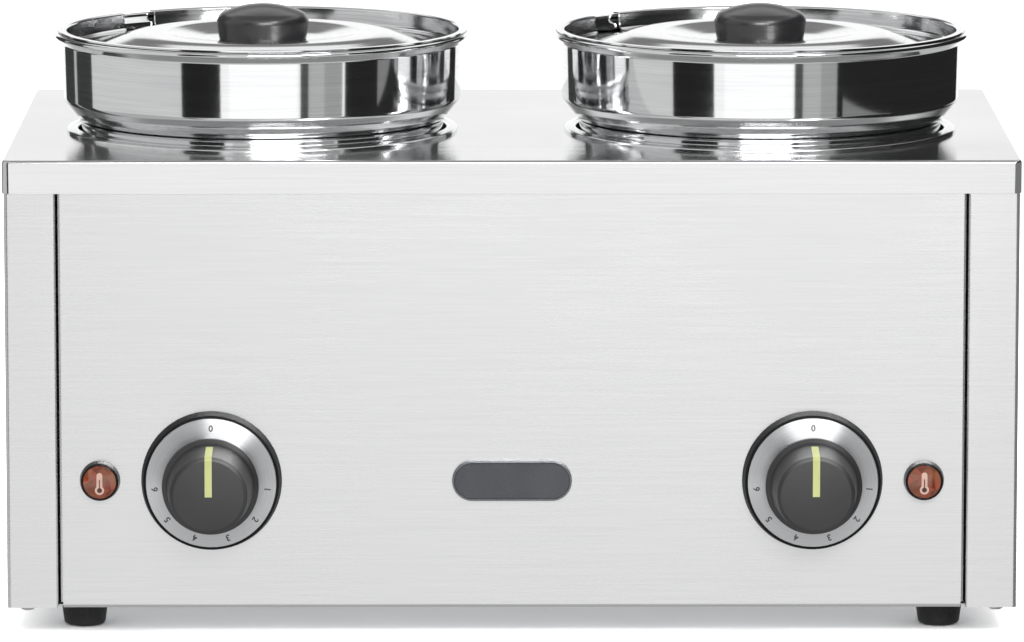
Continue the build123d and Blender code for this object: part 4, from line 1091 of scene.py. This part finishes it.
class CHAFING_OT_pilot_lamps(bpy.types.Operator):
    """Make the pilot lamps: bezel, lens and sign"""
    bl_idname = "chafing.pilot_lamps"
    bl_label = "Pilot lamps"

    def execute(self, context):
        settings = context.scene.chafing_control
        # Glossy black moulding: a bright crescent where it turns to the light
        gloss = moulded_plastic(
            "black lamp bezel, glossy", ("0D0D0E", settings.black), (0.2, 0.3), 0.9, 0.004, specular=0.3
        )
        # Pad print: thin and matt, so that it stands out from the glossy lens
        pale = moulded_plastic("pale sign print", ("D8AE9D", "E2C0B2"), (0.4, 0.5), 0.8, 0.002)
        deep = moulded_plastic("dark sign print", ("4A2A22", "5A3A30"), (0.4, 0.5), 0.8, 0.002)
        bore = LENS_RADIUS + LENS_CLEARANCE
        dome = crowned(LENS_RADIUS, LENS_BASE + LENS_HEIGHT, LENS_CROWN, LENS_STEPS)
        for side in SIDES:
            centre = middle_of(f"pilot_lens_{side}")
            x, z = centre.x, centre.z
            ring = turned(
                [
                    (bore, LENS_BASE), (bore, LAMP_BEZEL_HEIGHT),
                    (LAMP_BEZEL_FRONT_RADIUS, LAMP_BEZEL_HEIGHT), (LAMP_BEZEL_RADIUS, 0),
                    (LAMP_BODY_RADIUS, 0), (LAMP_BODY_RADIUS, LENS_BASE),
                ],
                [(1, 0.2), (2, 0.8)], closed=True,
            )
            placed(ring, facing_front(x, z))
            new_piece(f"lamp_ring_{side}", ring, "housing", gloss, [f"pilot_bezel_{side}"])
            lens = turned(dome + [(LENS_RADIUS, LENS_BASE), (0, LENS_BASE)], [(LENS_STEPS, 0.3)])
            placed(lens, facing_front(x, z))
            new_piece(
                f"lamp_window_{side}", lens, "housing", lens_material(side, x, z), [f"pilot_lens_{side}"],
            )
            pictogram(side, x, z, pale, deep)
        return {"FINISHED"}


class CHAFING_OT_badge(bpy.types.Operator):
    """Make the bare badge and the bare rating plate"""
    bl_idname = "chafing.badge"
    bl_label = "Badge and rating plate"

    def execute(self, context):
        settings = context.scene.chafing_control
        centre = middle_of("badge")
        made = bmesh.new()
        ring = bmesh.ops.create_circle(
            made, cap_ends=True, radius=BADGE_HEIGHT / 2 * MM, segments=PLAIN_STEPS
        )["verts"]
        half_step = Matrix.Rotation(pi / PLAIN_STEPS, 3, "Z")
        bmesh.ops.rotate(made, cent=(0, 0, 0), matrix=half_step, verts=ring)
        half = (BADGE_LENGTH - BADGE_HEIGHT) / 2 * MM
        for vert in ring:
            vert.co.x += half if vert.co.x > 0 else -half
        top = (BADGE_THICKNESS + BADGE_RIM_HEIGHT) * MM
        pulled_up(made, top)
        rim = [edge for edge in made.edges if all(v.co.z > top / 2 for v in edge.verts)]
        rounded(made, rim, BADGE_EDGE_ROUND)
        # The flat field is the highest face: it is sunk, so that a raised rim is left round it
        field = max(made.faces, key=lambda face: face.calc_center_median().z * 1e3 + face.calc_area())
        rim_flat = BADGE_RIM_WIDTH - 2 * BADGE_EDGE_ROUND
        bmesh.ops.inset_region(made, faces=[field], thickness=rim_flat * MM)
        bmesh.ops.inset_region(
            made, faces=[field], thickness=BADGE_RIM_SLOPE * MM, depth=-BADGE_RIM_HEIGHT * MM
        )
        field.material_index = 1
        placed(made, facing_front(centre.x, centre.z))
        # Enamel on a pressed plate: dark grey, and a lighter satin rim
        rim_metal = plain_metal(
            "badge rim, satin nickel grey", ("6E7074", "8B8D91"), (0.28, 0.4), (0.9, 0.9, 0.9), 0.003
        )
        enamel = moulded_plastic(
            "badge enamel, dark grey", (settings.badge, "43454B"), (0.24, 0.34), 1.2, 0.004, coat=0.3
        )
        new_piece("badge_plate", made, "housing", [rim_metal, enamel], ["badge"])
        # Rolled aluminium foil: pale, with a fine grain along its length
        foil = plain_metal(
            "rating plate foil, satin", ("B9BBBD", "D3D4D6"), (0.3, 0.42), (30, 30, 0.8), 0.003
        )
        new_piece(
            "rating_foil_plate", faired("rating_plate"), "housing", foil, ["rating_plate"]
        )
        return {"FINISHED"}


class CHAFING_OT_feet(bpy.types.Operator):
    """Mould the rubber feet"""
    bl_idname = "chafing.feet"
    bl_label = "Feet"

    def execute(self, context):
        # Moulded rubber: dull black, faintly dusty, with no clear highlight
        rubber = moulded_plastic("black foot rubber, matt", ("161616", "232323"), (0.6, 0.8), 1.1, 0.03)
        low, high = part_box("feet")
        feet = bmesh.new()
        inset = FOOT_TOP_RADIUS * MM
        for x in (low.x + inset, high.x - inset):
            for y in (low.y + inset, high.y - inset):
                foot = turned(
                    [
                        (0, FOOT_HEIGHT),
                        (FOOT_TOP_RADIUS, FOOT_HEIGHT),
                        (FOOT_BOTTOM_RADIUS, 0),
                        (FOOT_RECESS_RADIUS, 0),
                        (FOOT_RECESS_RADIUS, FOOT_RECESS_DEPTH),
                        (0, FOOT_RECESS_DEPTH),
                    ],
                    [(1, 0.4), (2, 2.4), (3, 0.5)], steps=64,
                )
                joined(feet, placed(foot, Matrix.Translation((x, y, 0))))
        new_piece("rubber_feet", feet, "housing", rubber, ["feet"])
        return {"FINISHED"}


def screw_head():
    """A pan head, made about Z and standing on its plane."""
    return turned(
        [
            (0, SCREW_HEAD_HEIGHT), (SCREW_FLAT_RADIUS, SCREW_HEAD_HEIGHT),
            (SCREW_HEAD_RADIUS, SCREW_EDGE_HEIGHT), (SCREW_HEAD_RADIUS, 0), (0, 0),
        ],
        [(1, 1.4), (2, 1.4)], steps=32, bend_steps=4,
    )


def cross_slot():
    """The cross recess as painted shade: a dark cross that stands a hair over the head's top."""
    middle = (SCREW_HEAD_HEIGHT + RECESS_PROUD - RECESS_DEPTH / 2) * MM
    slot = bmesh.new()
    for turn in (0, pi / 2):
        bar = bmesh.new()
        bmesh.ops.create_cube(bar, size=MM)
        bmesh.ops.scale(bar, vec=(RECESS_LENGTH, RECESS_WIDTH, RECESS_DEPTH), verts=bar.verts)
        spot = Matrix.Translation((0, 0, middle)) @ Matrix.Rotation(turn, 4, "Z")
        joined(slot, placed(bar, spot))
    return slot


class CHAFING_OT_fasteners(bpy.types.Operator):
    """Set the screw heads that show under the case and at its back"""
    bl_idname = "chafing.fasteners"
    bl_label = "Fasteners"

    def execute(self, context):
        # Bright zinc plating: pale and fairly glossy. The recess is painted shade, a dark material on a cross
        # over the head
        zinc = plain_metal("zinc-plated screw", ("B4B6B8", "D2D3D5"), (0.24, 0.36), (1.5, 1.5, 1.5), 0.003)
        recess = plain_metal("screw recess, shaded", ("2A2B2D", "3A3B3D"), (0.5, 0.6), (1.0, 1.0, 1.0), 0.002)
        low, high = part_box("base_screws")
        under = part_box("side_panel_left")[0].z
        inset = SCREW_HEAD_RADIUS * MM
        downward = [
            Matrix.Translation((x, y, under)) @ Matrix.Rotation(pi, 4, "X")
            for x in (low.x + inset, high.x - inset)
            for y in (low.y + inset, (low.y + high.y) / 2, high.y - inset)
        ]
        low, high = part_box("rear_screws")
        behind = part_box("side_panel_left")[1].y
        backward = [
            Matrix.Translation((x, behind, z)) @ Matrix.Rotation(-pi / 2, 4, "X")
            for x in (low.x + inset, high.x - inset)
            for z in (low.z + inset, (low.z + high.z) / 2, high.z - inset)
        ]
        for name, places, node in (("base", downward, "base_screws"), ("rear", backward, "rear_screws")):
            heads, shade_crosses = bmesh.new(), bmesh.new()
            for place in places:
                joined(heads, placed(screw_head(), place))
                # Each head gets a dark cross of painted shade where its recess is
                joined(shade_crosses, placed(cross_slot(), place))
            new_piece(f"{name}_screw_heads", heads, "housing", zinc, [node])
            new_piece(f"{name}_screw_recess_painted_shade", shade_crosses, "housing", recess, ())
        dress(["foot_screws", "foot_nuts", "clamp_studs", "clamp_nuts", "thermostat_screws"], zinc)
        dress(each_side("lid_knob_screw"), zinc)
        return {"FINISHED"}


class CHAFING_OT_inlet(bpy.types.Operator):
    """Mould the cable gland on the rear panel"""
    bl_idname = "chafing.inlet"
    bl_label = "Cable gland"

    def execute(self, context):
        # Moulded nylon: black with a soft gloss on its ribs
        nylon = moulded_plastic("black gland nylon", ("161618", "202022"), (0.36, 0.5), 0.9, 0.01)
        new_piece("gland_body", faired("cable_gland"), "housing", nylon, ["cable_gland"])
        dress(["gland_locknut"], nylon)
        return {"FINISHED"}


class CHAFING_OT_inside(bpy.types.Operator):
    """Finish the heaters, thermostats and wiring inside the case"""
    bl_idname = "chafing.inside"
    bl_label = "Inside"

    def execute(self, context):
        # Metals as they leave the tube bender, the press and the lathe, with the nodes made of them
        for *look, nodes in (
            ("heater sheath, heat tinted", ("5B5148", "7E776E"), (0.38, 0.55), (5, 5, 5), 0.01,
             each_side("heating_element")),
            ("mill-finish strip", ("9A9C9E", "B5B7B9"), (0.34, 0.46), (20, 1, 1), 0.004,
             each_side("clamp_bar")),
            ("drawn copper tube", ("B0714A", "CC8A60"), (0.26, 0.4), (1, 8, 1), 0.003,
             each_side("sensing_bulb")),
            ("turned steel shaft", ("A8AAAC", "C8CACC"), (0.22, 0.32), (4, 0.5, 4), 0.003,
             each_side("thermostat_shaft")),
            ("turned brass", ("C29A4C", "DDB868"), (0.22, 0.34), (1, 1, 0.6), 0.004,
             ["earth_stud", "earth_nut"]),
        ):
            dress(nodes, plain_metal(*look))
        # Mouldings in their plain, uncoloured or black plastics
        for *look, nodes in (
            ("black phenolic disc", ("1C1A18", "2A2724"), (0.45, 0.6), 0.8, 0.01,
             each_side("safety_cutout")),
            ("cream ceramic-filled moulding", ("C2B69C", "D2C8B0"), (0.5, 0.65), 0.9, 0.01,
             each_side("thermostat")),
            ("white lamp nylon", ("D9D7CE", "E6E4DC"), (0.4, 0.5), 0.9, 0.006,
             each_side("pilot_body") + ["pilot_nuts"]),
            ("natural nylon terminals", ("DEDBCF", "EAE7DC"), (0.42, 0.55), 0.9, 0.008,
             ["terminal_block"]),
            ("silicone wire cover", ("B9B4A6", "CBC6B8"), (0.5, 0.65), 1.4, 0.01,
             each_side("wiring")),
        ):
            dress(nodes, moulded_plastic(*look))
        return {"FINISHED"}


def card(name, start, end, low, high, grey):
    """An upright studio card from one place on the floor plan to another, seen only in reflections."""
    made = bmesh.new()
    corners = ((*start, low), (*end, low), (*end, high), (*start, high))
    made.faces.new([made.verts.new(corner) for corner in corners])
    piece = linked(name, made)
    finish = bpy.data.materials.new(f"card {name}")
    finish.use_nodes = True
    tree = finish.node_tree
    tree.nodes.clear()
    light = add_node(tree, "ShaderNodeEmission", {"Color": (grey, grey, grey, 1.0), "Strength": 1.0})
    add_node(tree, "ShaderNodeOutputMaterial", {"Surface": light.outputs[0]})
    piece.data.materials.append(finish)
    piece.visible_camera = False
    piece.visible_diffuse = False
    piece.visible_transmission = False
    piece.visible_shadow = False
    piece.visible_volume_scatter = False


def lamp(name, place, aim, size, power, shines):
    """A softbox that points from its place to its aim. Where it shines, metal mirrors it."""
    data = bpy.data.lights.new(name, "AREA")
    data.shape = "RECTANGLE"
    data.size, data.size_y = size
    data.energy = power
    made = bpy.data.objects.new(name, data)
    made.location = place
    made.rotation_euler = (Vector(aim) - Vector(place)).to_track_quat("-Z", "Y").to_euler()
    made.visible_glossy = shines
    bpy.context.scene.collection.objects.link(made)


class CHAFING_OT_stage(bpy.types.Operator):
    """Set the floor, the light, the studio cards and the camera"""
    bl_idname = "chafing.stage"
    bl_label = "Stage"

    def execute(self, context):
        settings = context.scene.chafing_stage
        self.floor()
        self.room(settings)
        self.cards()
        # The wide softbox only lights the dish, and the small one also shines in its rounded edges
        lamp("softbox overhead", (0.0, -0.5, 2.2), (0, 0, 0.2), (2.4, 1.8), 14, False)
        lamp("softbox right", (0.9, -1.5, 1.5), (0, -0.1, 0.15), (0.5, 0.5), 8, True)
        self.camera(settings)
        context.scene.view_settings.view_transform = "Standard"
        return {"FINISHED"}

    def floor(self):
        """Lays white paper under the dish."""
        made = bmesh.new()
        bmesh.ops.create_grid(made, x_segments=1, y_segments=1, size=8.0)
        piece = linked("floor", made)
        finish, tree, bsdf = new_material(
            "white paper floor", {"Roughness": 0.9, "Specular IOR Level": 0.0}
        )
        path = add_node(tree, "ShaderNodeLightPath")
        # The camera sees brighter paper than the dish is lit by, so that the floor is white
        paper = add_node(
            tree, "ShaderNodeMix",
            {"Factor": path.outputs["Is Camera Ray"], "A": (0.9, 0.9, 0.9, 1.0), "B": (2.2, 2.2, 2.2, 1.0)},
            data_type="RGBA",
        )
        tree.links.new(paper.outputs["Result"], bsdf.inputs["Base Color"])
        piece.data.materials.append(finish)
        piece.visible_glossy = False

    def room(self, settings):
        """Lights the dish evenly, and gives its metal a room with a dark band to mirror."""
        world = bpy.data.worlds.new("studio")
        bpy.context.scene.world = world
        world.use_nodes = True
        tree = world.node_tree
        tree.nodes.clear()
        path = add_node(tree, "ShaderNodeLightPath")
        place = add_node(tree, "ShaderNodeTexCoord")
        split = add_node(tree, "ShaderNodeSeparateXYZ", {0: place.outputs["Generated"]})
        tone = ROOM_GROUND
        for start, end, level in ROOM_TONES:
            tone = add_node(
                tree, "ShaderNodeMapRange",
                {"Value": split.outputs["Z"], "From Min": sin(radians(start)), "From Max": sin(radians(end)),
                 "To Min": tone, "To Max": level},
            ).outputs["Result"]
        lit = add_node(
            tree, "ShaderNodeMapRange",
            {"Value": path.outputs["Is Glossy Ray"], "To Min": settings.sky, "To Max": tone},
        )
        seen = add_node(
            tree, "ShaderNodeMath",
            {0: path.outputs["Is Camera Ray"], 1: path.outputs["Is Transmission Ray"]}, operation="MAXIMUM",
        )
        strength = add_node(
            tree, "ShaderNodeMapRange",
            {"Value": seen.outputs[0], "To Min": lit.outputs["Result"], "To Max": 1.0},
        )
        light = add_node(
            tree, "ShaderNodeBackground", {"Color": (1, 1, 1, 1), "Strength": strength.outputs["Result"]}
        )
        add_node(tree, "ShaderNodeOutputWorld", {"Surface": light.outputs[0]})

    def cards(self):
        """Stands the cards that the metal mirrors: name, plan from and to, bottom, top and brightness."""
        for name, start, end, low, high, grey in (
            ("black flag left", (-0.92, -0.84), (-0.92, -1.99), -0.15, 1.1, 0.018),
            ("grey wall left", (-0.92, 0.26), (-0.92, -0.84), -0.7, 1.1, 0.68),
            ("dark wall back left", (-0.92, 0.26), (-0.92, 0.62), -0.15, 1.1, 0.05),
            ("light gap back left", (-0.92, 0.62), (-0.92, 0.72), -0.7, 1.1, 0.5),
            ("dark wall behind left", (-0.92, 0.72), (-0.90, 1.6), -0.15, 1.1, 0.05),
            ("white softbox front", (-0.92, -2.6), (0.9, -2.6), -0.32, 0.2, 1.25),
            ("white softbox above", (-0.92, -2.6), (0.9, -2.6), 0.2, 0.75, 0.6),
            ("dark post right", (0.83, -2.255), (0.99, -2.135), -0.7, 1.1, 0.08),
            ("light wall right", (0.99, -2.135), (1.53, -2.2), -0.7, 1.1, 0.5),
            ("grey wall right", (1.53, -2.2), (2.42, -2.3), -0.7, 1.1, 0.38),
            ("black flag right", (1.0, -1.0), (1.0, 1.9), -0.15, 1.1, 0.02),
            ("softbox front high", (-0.3, -1.75), (0.7, -1.75), 0.72, 1.1, 16.0),
            ("grey card low right", (0.27, -0.2), (0.27, -0.1), -0.1, 0.241, 0.25),
        ):
            card(name, start, end, low, high, grey)

    def camera(self, settings):
        """Sets the photograph's view."""
        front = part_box("front_panel")[0].y
        aim = Vector((0, front, settings.aim_height))
        back = settings.camera_distance
        data = bpy.data.cameras.new("camera")
        data.lens = settings.lens
        data.sensor_width = 36
        data.clip_end = 60
        made = bpy.data.objects.new("camera", data)
        made.location = aim + Vector((
            settings.camera_aside, -back * cos(settings.camera_pitch), back * sin(settings.camera_pitch)
        ))
        made.rotation_euler = (aim - made.location).to_track_quat("-Z", "Y").to_euler()
        bpy.context.scene.collection.objects.link(made)
        bpy.context.scene.camera = made


STEPS = (
    CHAFING_OT_case,
    CHAFING_OT_wells,
    CHAFING_OT_pots,
    CHAFING_OT_lids,
    CHAFING_OT_lid_knobs,
    CHAFING_OT_dials,
    CHAFING_OT_control_knobs,
    CHAFING_OT_pilot_lamps,
    CHAFING_OT_badge,
    CHAFING_OT_feet,
    CHAFING_OT_fasteners,
    CHAFING_OT_inlet,
    CHAFING_OT_inside,
    CHAFING_OT_stage,
)
SETTINGS = {
    "chafing_case": CaseSettings,
    "chafing_pot": PotSettings,
    "chafing_control": ControlSettings,
    "chafing_stage": StageSettings,
}


class CHAFING_PT_steps(bpy.types.Panel):
    """Lists the steps that build the dish"""
    bl_idname = "CHAFING_PT_steps"
    bl_label = "Chafing dish"
    bl_space_type = "VIEW_3D"
    bl_region_type = "UI"
    bl_category = "Chafing dish"

    def draw(self, context):
        for step in STEPS:
            self.layout.operator(step.bl_idname)


def register():
    for cls in (*SETTINGS.values(), *STEPS, CHAFING_PT_steps):
        bpy.utils.register_class(cls)
    for name, cls in SETTINGS.items():
        setattr(bpy.types.Scene, name, bpy.props.PointerProperty(type=cls))


def unregister():
    for name in SETTINGS:
        delattr(bpy.types.Scene, name)
    for cls in reversed((*SETTINGS.values(), *STEPS, CHAFING_PT_steps)):
        bpy.utils.unregister_class(cls)


def main():
    register()
    for step in STEPS:
        group, name = step.bl_idname.split(".")
        getattr(getattr(bpy.ops, group), name)()


if __name__ == "__main__":
    main()
